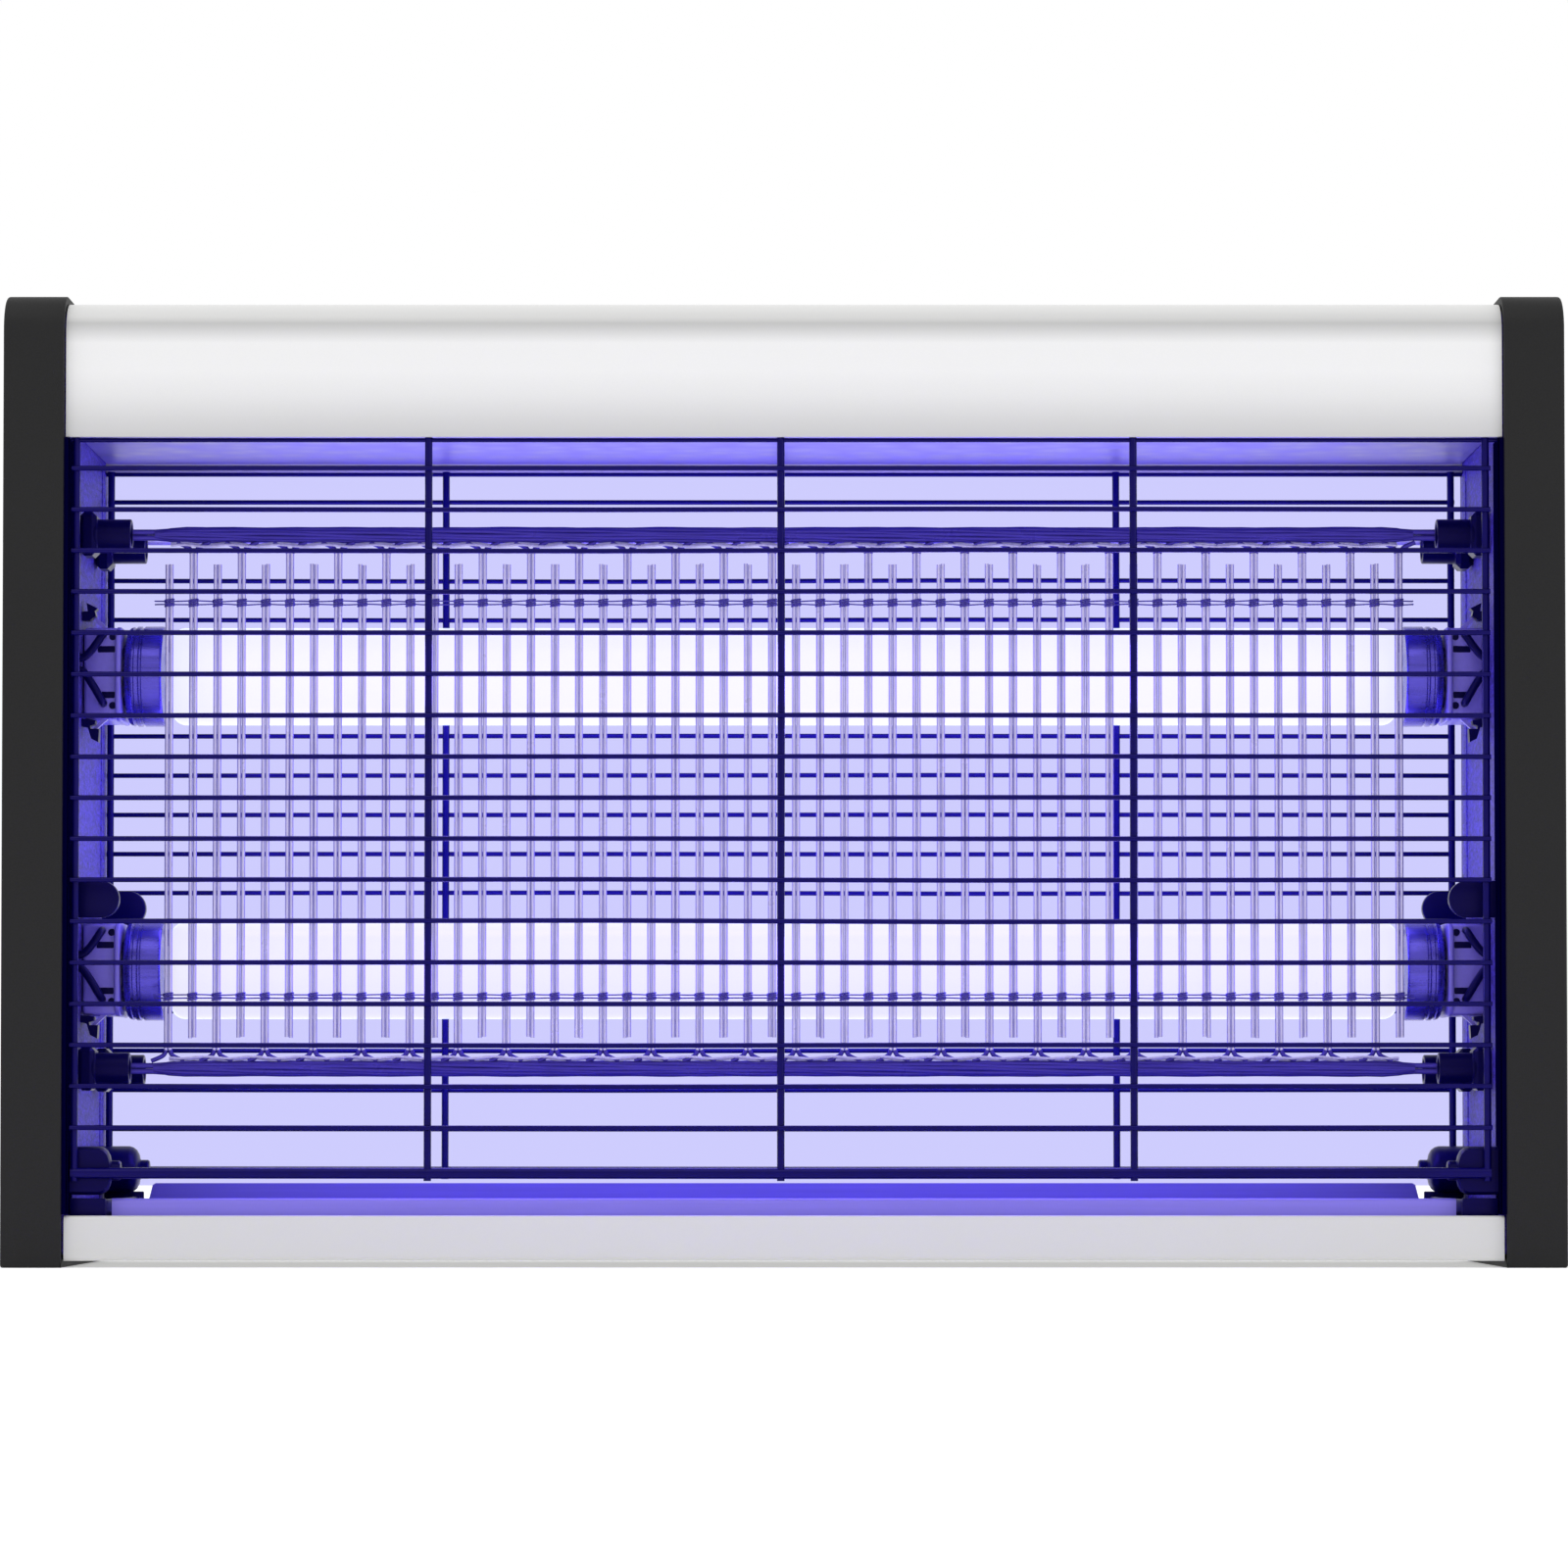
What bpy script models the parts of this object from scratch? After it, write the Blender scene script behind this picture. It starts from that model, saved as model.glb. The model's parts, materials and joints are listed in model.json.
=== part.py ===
"""Electric bug zapper: two end caps, a sheet-metal top housing, two lamps, a high-voltage wire
grid between two wire guards, and a pull-out dead-insect tray.

Sizes are in millimetres and are turned into metres when a mesh is made. +X runs to the right,
-Y towards the front, +Z up, and the origin is at the bottom centre.
"""

import math

import bmesh
import bpy
from mathutils import Matrix, Vector

MM = 0.001
GAP = 0.3

# Overall size
HALF_WIDTH = 195.5
HALF_DEPTH = 40.5
HEIGHT = 244.3

# End caps and side plates
CAP_INNER = 179.9
CAP_WALL = 2.3
CAP_TOP_RADIUS = 9.5
CAP_EDGE = 3.0
PLATE_INNER = 179.2
PLATE_THICK = 1.4
PLATE_HALF_DEPTH = 37.0
PLATE_LOW, PLATE_HIGH = 3.3, 240.8

# Sheet metal
SHEET = 1.0
HOUSING_HALF = 179.5
HOUSING_DEPTH = 38.5
HOUSING_LOW, HOUSING_HIGH = 208.0, 242.4
HOUSING_RADIUS = 8.0
CHASSIS_LOW = 210.4
PANEL_LOW, PANEL_HIGH = 1.7, 13.0
INNER_HALF = PLATE_INNER - GAP

# Tray
RAIL_INNER = 169.6
TRAY_HALF = 168.8
TRAY_LOW = 3.6
TRAY_SHEET = 0.8
TRAY_FRONT_HIGH = 17.2
TRAY_SIDE_HIGH = 14.0
TRAY_REAR_HIGH = 20.6
TRAY_WALL_Y = 30.0

# Guards
GUARD_Y = 36.0
GUARD_OFFSET_X = -0.8
GUARD_SPACING = 88.4
GUARD_POST = 1.7
GUARD_WIRE = 1.0
GUARD_ROD = 2.3
GUARD_FIRST, GUARD_PITCH, GUARD_COUNT = 200.3, 10.34, 17
GUARD_AXIS_Z = 207.5
GUARD_LOW, GUARD_HIGH = 21.3, 208.2
GUARD_ROD_Z = 23.6

# High-voltage grid
GRID_Y = 16.0
GRID_PITCH = 6.133
GRID_PAIRS = 52
GRID_HIGH_Z, GRID_LOW_Z = 185.8, 50.0
PAIR_WIDTH, PAIR_DEPTH = 2.05, 1.0
PAIR_TOP_FREE, PAIR_LOW_FREE = 178.3, 57.9
BUNDLE_RADIUS = 2.5
END_ROD_RADIUS = 1.45
INSULATOR_TIP = 166.0
THREAD_HIGH_Z, THREAD_LOW_Z = 168.5, 68.3
REAR_ROD_Z = (188.0, 50.4)

# Lamps
LAMP_Z = {"upper": 151.0, "lower": 75.4}
TUBE_RADIUS = 12.5
TUBE_HALF = 158.6
BASE_RADIUS = 12.9
BASE_END = 168.6
PIN_OFFSET = 6.35
PIN_RADIUS = 1.2
PIN_END = 175.9
HOLDER_FACE = 169.6
HOLDER_HALF_DEPTH = 10.5
HOLDER_HALF_HEIGHT = 11.7
ROTOR_RADIUS = 8.0

# Rear switch, cord gland and hanging rings
SWITCH_X, SWITCH_Z = 128.0, 226.0
ROCKER_PIVOT_Y = 34.2
ROCKER_TILT = 10.0
GLAND_X, GLAND_Z = 158.0, 226.0
RING_X = 140.0
RING_Z = 243.4
RING_WIRE = 0.75

COLOURS = {
    "charcoal_plastic": ((0.030, 0.030, 0.032), 0.55, 0.0),
    "white_housing": ((0.78, 0.78, 0.79), 0.35, 0.1),
    "grey_panel": ((0.62, 0.62, 0.64), 0.35, 0.2),
    "side_plastic": ((0.50, 0.46, 0.80), 0.55, 0.0),
    "tray_metal": ((0.55, 0.54, 0.75), 0.35, 0.8),
    "black_wire": ((0.012, 0.010, 0.030), 0.35, 0.3),
    "grid_wire": ((0.45, 0.44, 0.60), 0.30, 0.9),
    "black_plastic": ((0.015, 0.014, 0.022), 0.45, 0.0),
    "thread": ((0.10, 0.08, 0.25), 0.7, 0.0),
    "lamp_glass": ((0.95, 0.95, 1.00), 0.2, 0.0),
    "lamp_base": ((0.72, 0.72, 0.76), 0.3, 0.9),
    "holder_plastic": ((0.72, 0.70, 0.85), 0.45, 0.0),
    "rotor_plastic": ((0.65, 0.63, 0.80), 0.45, 0.0),
    "zinc_sheet": ((0.60, 0.60, 0.63), 0.4, 0.8),
    "ballast_steel": ((0.35, 0.35, 0.37), 0.45, 0.7),
    "resin": ((0.06, 0.06, 0.07), 0.5, 0.0),
    "terminal_nylon": ((0.82, 0.80, 0.74), 0.5, 0.0),
    "ring_steel": ((0.65, 0.65, 0.67), 0.3, 0.9),
}


# --- Building tools -------------------------------------------------------------------------


def clear_scene():
    for obj in list(bpy.data.objects):
        bpy.data.objects.remove(obj, do_unlink=True)


def material(name):
    found = bpy.data.materials.get(name)
    if found:
        return found
    colour, roughness, metallic = COLOURS[name]
    made = bpy.data.materials.new(name)
    made.use_nodes = True
    shader = made.node_tree.nodes["Principled BSDF"]
    shader.inputs["Base Color"].default_value = (*colour, 1.0)
    shader.inputs["Roughness"].default_value = roughness
    shader.inputs["Metallic"].default_value = metallic
    made.diffuse_color = (*colour, 1.0)
    return made


def finish(name, bm, finish_name, smooth=False):
    """A linked object made from a bmesh whose points are in millimetres."""
    bmesh.ops.recalc_face_normals(bm, faces=bm.faces)
    bmesh.ops.scale(bm, vec=(MM, MM, MM), verts=bm.verts)
    mesh = bpy.data.meshes.new(name)
    bm.to_mesh(mesh)
    bm.free()
    if smooth:
        mesh.shade_smooth()
        mesh.set_sharp_from_angle(angle=math.radians(40))
    obj = bpy.data.objects.new(name, mesh)
    bpy.context.scene.collection.objects.link(obj)
    mesh.materials.append(material(finish_name))
    return obj


def box_mesh(low, high):
    bm = bmesh.new()
    bmesh.ops.create_cube(bm, size=1.0)
    low, high = Vector(low), Vector(high)
    bmesh.ops.scale(bm, vec=high - low, verts=bm.verts)
    bmesh.ops.translate(bm, vec=(low + high) / 2, verts=bm.verts)
    return bm


def box(name, low, high, finish_name, edge=0.0, segments=2):
    bm = box_mesh(low, high)
    if edge:
        bmesh.ops.bevel(
            bm, geom=bm.edges, offset=edge, offset_type="OFFSET", segments=segments,
            profile=0.5, affect="EDGES", material=-1,
        )
    return finish(name, bm, finish_name, smooth=bool(edge))


def extruded(name, outline, axis, low, high, finish_name, edge=0.0, edge_at=None, smooth=True):
    """A closed outline of (u, v) points pushed along an axis.

    Along X the outline is (y, z), along Y it is (x, z) and along Z it is (x, y). A bevel of
    width edge goes round the end that edge_at names."""
    place = {
        "X": lambda u, v: (low, u, v),
        "Y": lambda u, v: (u, low, v),
        "Z": lambda u, v: (u, v, low),
    }[axis]
    step = {"X": Vector((1, 0, 0)), "Y": Vector((0, 1, 0)), "Z": Vector((0, 0, 1))}[axis]
    bm = bmesh.new()
    first = bm.faces.new([bm.verts.new(place(u, v)) for u, v in outline])
    moved = bmesh.ops.extrude_face_region(bm, geom=[first])["geom"]
    verts = [item for item in moved if isinstance(item, bmesh.types.BMVert)]
    bmesh.ops.translate(bm, vec=step * (high - low), verts=verts)
    if edge:
        index = "XYZ".index(axis)
        rim = [e for e in bm.edges if all(abs(v.co[index] - edge_at) < 1e-4 for v in e.verts)]
        bmesh.ops.recalc_face_normals(bm, faces=bm.faces)
        bmesh.ops.bevel(
            bm, geom=rim, offset=edge, offset_type="OFFSET", segments=3, profile=0.5,
            affect="EDGES", material=-1,
        )
    return finish(name, bm, finish_name, smooth=smooth)


def turned(name, profile, axis, centre, finish_name, sides=16):
    """A profile of (along, radius) points turned about an axis through centre.

    The first and last points lie on the axis."""
    bm = bmesh.new()
    points = [bm.verts.new((along, 0.0, radius)) for along, radius in profile]
    edges = [bm.edges.new(pair) for pair in zip(points, points[1:])]
    bmesh.ops.spin(
        bm, geom=points + edges, cent=(0, 0, 0), axis=(1, 0, 0), angle=math.tau, steps=sides,
        use_merge=True,
    )
    bmesh.ops.remove_doubles(bm, verts=bm.verts, dist=1e-4)
    turn = {"X": Matrix(), "Y": Matrix.Rotation(math.pi / 2, 4, "Z")}[axis]
    bmesh.ops.transform(bm, matrix=Matrix.Translation(centre) @ turn, verts=bm.verts)
    return finish(name, bm, finish_name, smooth=True)


def boolean(obj, helper, operation):
    """Joins a helper to an object, or cuts it away, and removes the helper."""
    modifier = obj.modifiers.new(operation.lower(), "BOOLEAN")
    modifier.operation = operation
    modifier.solver = "EXACT"
    modifier.object = helper
    graph = bpy.context.evaluated_depsgraph_get()
    mesh = bpy.data.meshes.new_from_object(obj.evaluated_get(graph))
    old = obj.data
    obj.modifiers.clear()
    obj.data = mesh
    bpy.data.meshes.remove(old)
    mesh.name = obj.name
    bpy.data.objects.remove(helper, do_unlink=True)
    return obj


def join(obj, helper):
    return boolean(obj, helper, "UNION")


def cut(obj, helper):
    return boolean(obj, helper, "DIFFERENCE")


def boxes_as_one(name, corners, finish_name):
    """Separate boxes in a single mesh, ready to be joined to something that crosses them."""
    whole = bmesh.new()
    for low, high in corners:
        part = box_mesh(low, high)
        bmesh.ops.recalc_face_normals(part, faces=part.faces)
        mesh = bpy.data.meshes.new("part")
        part.to_mesh(mesh)
        part.free()
        whole.from_mesh(mesh)
        bpy.data.meshes.remove(mesh)
    return finish(name, whole, finish_name)


def sided(side, near, far):
    """Low and high X of a stretch that runs from near to far of the middle on one side."""
    return (side * far, side * near) if side < 0 else (side * near, side * far)


def hang_on(pivot_name, place, pieces):
    """Puts an empty on a joint's axis and parents the moving pieces to it."""
    pivot = bpy.data.objects.new(pivot_name, None)
    pivot.location = Vector(place) * MM
    pivot.empty_display_size = 0.01
    bpy.context.scene.collection.objects.link(pivot)
    for piece in pieces:
        piece.parent = pivot
        piece.matrix_parent_inverse = Matrix.Translation(-pivot.location)


# --- Outlines -------------------------------------------------------------------------------


def arc(centre, radius, start, end, steps):
    """Points along an arc, with angles in degrees."""
    angles = [math.radians(start + (end - start) * i / steps) for i in range(steps + 1)]
    return [(centre[0] + radius * math.cos(a), centre[1] + radius * math.sin(a)) for a in angles]


def tombstone(half, low, high, top_radius, low_radius=0.8, steps=8):
    """An upright outline with rounded top corners and nearly square lower ones."""
    return (
        arc((half - low_radius, low + low_radius), low_radius, -90, 0, 2)
        + arc((half - top_radius, high - top_radius), top_radius, 0, 90, steps)
        + arc((top_radius - half, high - top_radius), top_radius, 90, 180, steps)
        + arc((low_radius - half, low + low_radius), low_radius, 180, 270, 2)
    )


# --- Casing ---------------------------------------------------------------------------------


def end_cap(side, name):
    low, high = sided(side, CAP_INNER, HALF_WIDTH)
    shape = tombstone(HALF_DEPTH, 0.0, HEIGHT, CAP_TOP_RADIUS)
    cap = extruded(
        name, shape, "X", low, high, "charcoal_plastic", CAP_EDGE, side * HALF_WIDTH
    )
    hollow = tombstone(
        HALF_DEPTH - CAP_WALL, CAP_WALL, HEIGHT - CAP_WALL, CAP_TOP_RADIUS - CAP_WALL
    )
    low, high = sided(side, CAP_INNER - 1, HALF_WIDTH - CAP_WALL)
    cut(cap, extruded("hollow", hollow, "X", low, high, "charcoal_plastic"))
    for front in (-1, 1):
        join(cap, guard_tab(side, front))
    return cap


def guard_tab(side, front):
    """A flat tongue with a round nose that reaches out of the cap through its side plate."""
    radius, nose, root = 4.65, 171.85, HALF_WIDTH - 1.0
    z = 92.45
    outline = [(root, z - radius)] + [(root, z + radius)]
    outline += arc((nose, z), radius, 90, 270, 8)
    outline = [(side * x, height) for x, height in outline]
    middle = front * 29.0
    return extruded("tab", outline, "Y", middle - 1.6, middle + 1.6, "charcoal_plastic")


def side_plate(side, name):
    low, high = sided(side, PLATE_INNER, PLATE_INNER + PLATE_THICK)
    outline = tombstone(PLATE_HALF_DEPTH, PLATE_LOW, PLATE_HIGH, 6.5, steps=5)
    plate = extruded(name, outline, "X", low, high, "side_plastic")
    cut_low, cut_high = sided(side, PLATE_INNER - 2, PLATE_INNER + PLATE_THICK + 2)
    for front in (-1, 1):
        slot = ((cut_low, front * 29.0 - 2.0, 87.4), (cut_high, front * 29.0 + 2.0, 97.5))
        cut(plate, box("slot", *slot, "side_plastic"))
        pivot = [(cut_low, 0), (cut_low, 1.2), (cut_high, 1.2), (cut_high, 0)]
        centre = (0, front * GUARD_Y, GUARD_AXIS_Z)
        bore = turned("bore", pivot, "X", centre, "side_plastic", 8)
        cut(plate, bore)
    for z in LAMP_Z.values():
        grommet = [(cut_low, 0), (cut_low, 3.0), (cut_high, 3.0), (cut_high, 0)]
        cut(plate, turned("hole", grommet, "X", (0, -15.0, z + 2.0), "side_plastic", 10))
    return plate


def top_housing():
    outer = tombstone(HOUSING_DEPTH, 100.0, HOUSING_HIGH, HOUSING_RADIUS)
    inner = tombstone(
        HOUSING_DEPTH - SHEET, 90.0, HOUSING_HIGH - SHEET, HOUSING_RADIUS - SHEET
    )
    outer = [p for p in outer if p[1] > HOUSING_LOW]
    inner = [p for p in inner if p[1] > HOUSING_LOW]
    outer = [(HOUSING_DEPTH, HOUSING_LOW)] + outer + [(-HOUSING_DEPTH, HOUSING_LOW)]
    edge = HOUSING_DEPTH - SHEET
    inner = [(edge, HOUSING_LOW)] + inner + [(-edge, HOUSING_LOW)]
    channel = outer + inner[::-1]
    housing = extruded(
        "top_housing", channel, "X", -HOUSING_HALF, HOUSING_HALF, "white_housing"
    )
    window = ((SWITCH_X - 9.2, 35.0, SWITCH_Z - 6.2), (SWITCH_X + 9.2, 42.0, SWITCH_Z + 6.2))
    cut(housing, box("window", *window, "white_housing"))
    bore = [(-5, 0), (-5, 5.4), (5, 5.4), (5, 0)]
    cut(housing, turned("bore", bore, "Y", (GLAND_X, HOUSING_DEPTH, GLAND_Z), "white_housing"))
    return housing


def chassis_plate():
    return box(
        "chassis_plate",
        (-INNER_HALF, -PLATE_HALF_DEPTH, CHASSIS_LOW),
        (INNER_HALF, PLATE_HALF_DEPTH, CHASSIS_LOW + SHEET),
        "zinc_sheet",
    )


def base_plate():
    """The floor of the tray bay, turned up at the rear into a panel like the tray's front."""
    floor = PANEL_LOW + 1.2
    outline = [
        (-37.0, PANEL_LOW), (HOUSING_DEPTH, PANEL_LOW), (HOUSING_DEPTH, PANEL_HIGH),
        (HOUSING_DEPTH - SHEET, PANEL_HIGH), (HOUSING_DEPTH - SHEET, floor), (-37.0, floor),
    ]
    return extruded(
        "base_plate", outline, "X", -HOUSING_HALF, HOUSING_HALF, "grey_panel", smooth=False
    )


# --- Tray -----------------------------------------------------------------------------------


def tray_rail(side, name):
    low, high = sided(side, RAIL_INNER, INNER_HALF)
    return box(name, (low, -36.5, 3.3), (high, 36.5, 13.0), "black_plastic", 0.6, 1)


def tray_pan():
    wall, half = TRAY_SHEET, TRAY_HALF
    front, rear = -TRAY_WALL_Y, TRAY_WALL_Y
    pan = box(
        "tray_pan", (-half, 0.3 - HOUSING_DEPTH + SHEET, TRAY_LOW),
        (half, rear + wall, TRAY_LOW + wall), "tray_metal",
    )
    join(pan, box(
        "front_wall", (-half, front, TRAY_LOW + 0.2), (half, front + wall, TRAY_FRONT_HIGH),
        "tray_metal",
    ))
    for side in (-1, 1):
        low, high = sided(side, half - wall, half)
        join(pan, box(
            "side_wall", (low, front + 0.2, TRAY_LOW + 0.2), (high, rear + 0.6, TRAY_SIDE_HIGH),
            "tray_metal",
        ))
    shoulder = [
        (-half, TRAY_LOW + 0.2), (half, TRAY_LOW + 0.2), (half, TRAY_SIDE_HIGH - 0.4),
        (165.5, TRAY_SIDE_HIGH), (163.0, TRAY_REAR_HIGH), (-163.0, TRAY_REAR_HIGH),
        (-165.5, TRAY_SIDE_HIGH), (-half, TRAY_SIDE_HIGH - 0.4),
    ]
    return join(pan, extruded(
        "rear_wall", shoulder, "Y", rear, rear + wall, "tray_metal", smooth=False
    ))


def tray_fascia():
    return box(
        "tray_fascia",
        (-HOUSING_HALF + 0.2, -HOUSING_DEPTH, PANEL_LOW),
        (HOUSING_HALF - 0.2, -HOUSING_DEPTH + SHEET, PANEL_HIGH),
        "grey_panel",
    )


# --- Guards ---------------------------------------------------------------------------------


def guard(front, name):
    """Upright wires joined by level wires on their outer side, over a thick bottom rod."""
    y, middle = front * GUARD_Y, GUARD_OFFSET_X
    half_post, half_wire, half_rod = GUARD_POST / 2, GUARD_WIRE / 2, GUARD_ROD / 2
    reach = 2 * GUARD_SPACING
    posts = [
        (
            (middle + n * GUARD_SPACING - half_post, y - half_post, GUARD_LOW),
            (middle + n * GUARD_SPACING + half_post, y + half_post, GUARD_HIGH),
        )
        for n in range(-2, 3)
    ]
    outer = y + front * (half_post + half_wire - 0.35)
    rows = [
        (
            (middle - reach - 1.2, outer - half_wire, z - half_wire),
            (middle + reach + 1.2, outer + half_wire, z + half_wire),
        )
        for z in (GUARD_FIRST - GUARD_PITCH * i for i in range(GUARD_COUNT))
    ]
    hinge = 0.5
    rows.append((
        (-PLATE_INNER - 0.7, y - hinge, GUARD_AXIS_Z - hinge),
        (PLATE_INNER + 0.7, y + hinge, GUARD_AXIS_Z + hinge),
    ))
    rows.append((
        (middle - reach - 0.6, y - half_rod, GUARD_ROD_Z - half_rod),
        (middle + reach + 0.6, y + half_rod, GUARD_ROD_Z + half_rod),
    ))
    lattice = boxes_as_one(name, posts, "black_wire")
    return join(lattice, boxes_as_one("rows", rows, "black_wire"))


def guard_clip(side, front, name):
    """A stepped peg on the side plate that the guard's bottom rod snaps against."""
    profile = [
        (178.9, 0), (178.9, 6.1), (171.0, 6.1), (169.3, 5.2), (168.6, 3.6), (168.4, 2.4),
        (166.3, 2.4), (166.3, 0),
    ]
    profile = [(side * along, radius) for along, radius in profile]
    clip = turned(name, profile, "X", (0, front * 31.5, 24.2), "black_plastic", 14)
    low, high = sorted((front * 34.5, front * 45.0))
    return cut(clip, box("flat", (-200, low, 0), (200, high, 60), "black_plastic"))


# --- High-voltage grid ----------------------------------------------------------------------


def grid_comb(name, bundle_z, free_z, first):
    """Every other pair of wires, fixed in a twisted bundle at one end and free at the other."""
    profile = [
        (-INSULATOR_TIP + GAP, 0), (-INSULATOR_TIP + GAP, END_ROD_RADIUS),
        (-160.5, END_ROD_RADIUS), (-157.0, BUNDLE_RADIUS), (157.0, BUNDLE_RADIUS),
        (160.5, END_ROD_RADIUS), (INSULATOR_TIP - GAP, END_ROD_RADIUS),
        (INSULATOR_TIP - GAP, 0),
    ]
    comb = turned(name, profile, "X", (0, -GRID_Y, bundle_z), "grid_wire", 8)
    low, high = sorted((bundle_z, free_z))
    start = -GRID_PITCH * (GRID_PAIRS - 1) / 2
    half_width, half_depth = PAIR_WIDTH / 2, PAIR_DEPTH / 2
    pairs = []
    for n in range(first, GRID_PAIRS, 2):
        x = start + GRID_PITCH * n
        pairs.append((
            (x - half_width, -GRID_Y - half_depth, low),
            (x + half_width, -GRID_Y + half_depth, high),
        ))
    return join(comb, boxes_as_one("pairs", pairs, "grid_wire"))


def spacer_thread(name, z):
    return box(name, (-160.0, -15.1, z - 0.5), (160.0, -14.3, z + 0.5), "thread")


def rear_rod(name, z):
    end = INSULATOR_TIP - GAP
    profile = [(-end, 0), (-end, 1.3), (end, 1.3), (end, 0)]
    return turned(name, profile, "X", (0, GRID_Y, z), "grid_wire", 8)


def insulator(side, front, z, name):
    root = INNER_HALF
    tip = [(side * INSULATOR_TIP, 0), (side * INSULATOR_TIP, 4.0)]
    profile = tip + [(side * (root - 2.0), 4.0), (side * (root - 2.0), 0)]
    piece = turned(name, profile, "X", (0, front * GRID_Y, z), "black_plastic", 12)
    low, high = sided(side, 174.5, root)
    y = front * GRID_Y
    block = box("block", (low, y - 4.6, z - 5.6), (high, y + 4.6, z + 5.6), "black_plastic", 0.9, 1)
    return join(piece, block)


# --- Lamps ----------------------------------------------------------------------------------


def lamp_tube(level, z):
    shoulder = 2.5
    profile = [
        (-TUBE_HALF, 0), (-TUBE_HALF, TUBE_RADIUS - shoulder), (-TUBE_HALF + shoulder, TUBE_RADIUS),
        (TUBE_HALF - shoulder, TUBE_RADIUS), (TUBE_HALF, TUBE_RADIUS - shoulder), (TUBE_HALF, 0),
    ]
    return turned(f"{level}_lamp_tube", profile, "X", (0, 0, z), "lamp_glass", 20)


def lamp_base(side, level, z, name):
    start = TUBE_HALF + GAP
    profile = [
        (start, 0), (start, BASE_RADIUS), (BASE_END - 1.2, BASE_RADIUS),
        (BASE_END, BASE_RADIUS - 1.2), (BASE_END, 0),
    ]
    profile = [(side * along, radius) for along, radius in profile]
    base = turned(name, profile, "X", (0, 0, z), "lamp_base", 20)
    pin = [(BASE_END - 2, 0), (BASE_END - 2, PIN_RADIUS), (PIN_END, PIN_RADIUS), (PIN_END, 0)]
    pin = [(side * along, radius) for along, radius in pin]
    for offset in (-PIN_OFFSET, PIN_OFFSET):
        join(base, turned("pin", pin, "X", (0, 0, z + offset), "lamp_base", 8))
    return base


def lampholder(side, z, name):
    """A block with a round socket for the rotor and an entry slot at the rear."""
    low, high = sided(side, HOLDER_FACE, INNER_HALF)
    tall, deep = HOLDER_HALF_HEIGHT, HOLDER_HALF_DEPTH
    holder = box(name, (low, -deep, z - tall), (high, deep, z + tall), "holder_plastic", 0.8, 1)
    low, high = sided(side, HOLDER_FACE - 0.2, HOLDER_FACE + 1.7)
    flange = ((low, -deep - 1.6, z - tall - 0.3), (high, deep + 1.6, z + tall + 0.3))
    join(holder, box("flange", *flange, "holder_plastic", 0.4, 1))
    near, far = side * (HOLDER_FACE - 3), side * 177.2
    socket = [(near, 0), (near, 8.4), (far, 8.4), (far, 0)]
    cut(holder, turned("socket", socket, "X", (0, 0, z), "holder_plastic", 20))
    low, high = sorted((near, far))
    return cut(holder, box("entry", (low, 0, z - 1.8), (high, 20, z + 1.8), "holder_plastic"))


def lampholder_rotor(side, z, name):
    """The disc that turns with the lamp's pins, which lie in its slot."""
    near, far = side * 170.0, side * 176.8
    profile = [(near, 0), (near, ROTOR_RADIUS), (far, ROTOR_RADIUS), (far, 0)]
    rotor = turned(name, profile, "X", (0, 0, z), "rotor_plastic", 20)
    low, high = sorted((side * 169.0, side * 176.2))
    return cut(rotor, box("slot", (low, -1.6, z - 9), (high, 1.6, z + 9), "rotor_plastic"))


def lamp_lead(side, z, name):
    """One lead from each of the holder's two terminals, meeting behind the side plate."""
    grommet_y, grommet_z = -15.0, z + 2.0
    route = [
        (174.0, -10.85, z + 9.0), (174.0, -12.4, z + 9.0), (174.6, -13.9, z + 8.0),
        (176.4, -14.9, z + 5.6), (178.0, grommet_y, grommet_z + 1.5),
        (181.4, grommet_y, grommet_z + 1.2), (181.4, grommet_y, grommet_z - 1.2),
        (178.4, grommet_y, grommet_z - 1.2), (176.2, -15.6, grommet_z - 0.2),
        (174.2, -15.8, grommet_z - 1.2), (173.2, -15.4, grommet_z - 4.2),
        (173.4, -14.6, z - 6.4), (173.8, -13.4, z - 8.6), (173.9, -12.4, z - 9.0),
        (173.9, -10.85, z - 9.0),
    ]
    curve = bpy.data.curves.new(name, "CURVE")
    curve.dimensions = "3D"
    spline = curve.splines.new("POLY")
    spline.points.add(len(route) - 1)
    for point, (x, y, height) in zip(spline.points, route):
        point.co = (side * x * MM, y * MM, height * MM, 1.0)
    curve.bevel_depth = 0.8 * MM
    curve.bevel_resolution = 1
    curve.use_fill_caps = True
    lead = bpy.data.objects.new(name, curve)
    bpy.context.scene.collection.objects.link(lead)
    curve.materials.append(material("black_plastic"))
    return lead


# --- Electrics in the top housing -----------------------------------------------------------


def ballast(name, front):
    """A laminated choke: a low mounting strap with the wound core standing on it."""
    floor = CHASSIS_LOW + SHEET + GAP
    near, far = sorted((front * 5.0, front * 33.0))
    piece = box(name, (-152, near, floor), (-38, far, floor + 1.6), "ballast_steel")
    core = box("core", (-138, near + 1, floor + 0.6), (-52, far - 1, floor + 24), "ballast_steel", 1.2, 1)
    return join(piece, core)


def hv_transformer():
    floor = CHASSIS_LOW + SHEET + GAP
    block = box("hv_transformer", (20, -24, floor), (78, 24, floor + 19), "resin", 1.5, 2)
    coil = [(0, 0), (0, 10.5), (9.0, 10.5), (9.0, 0)]
    winding = turned("winding", coil, "X", (44.5, 0, floor + 15), "resin", 16)
    return join(block, winding)


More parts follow.
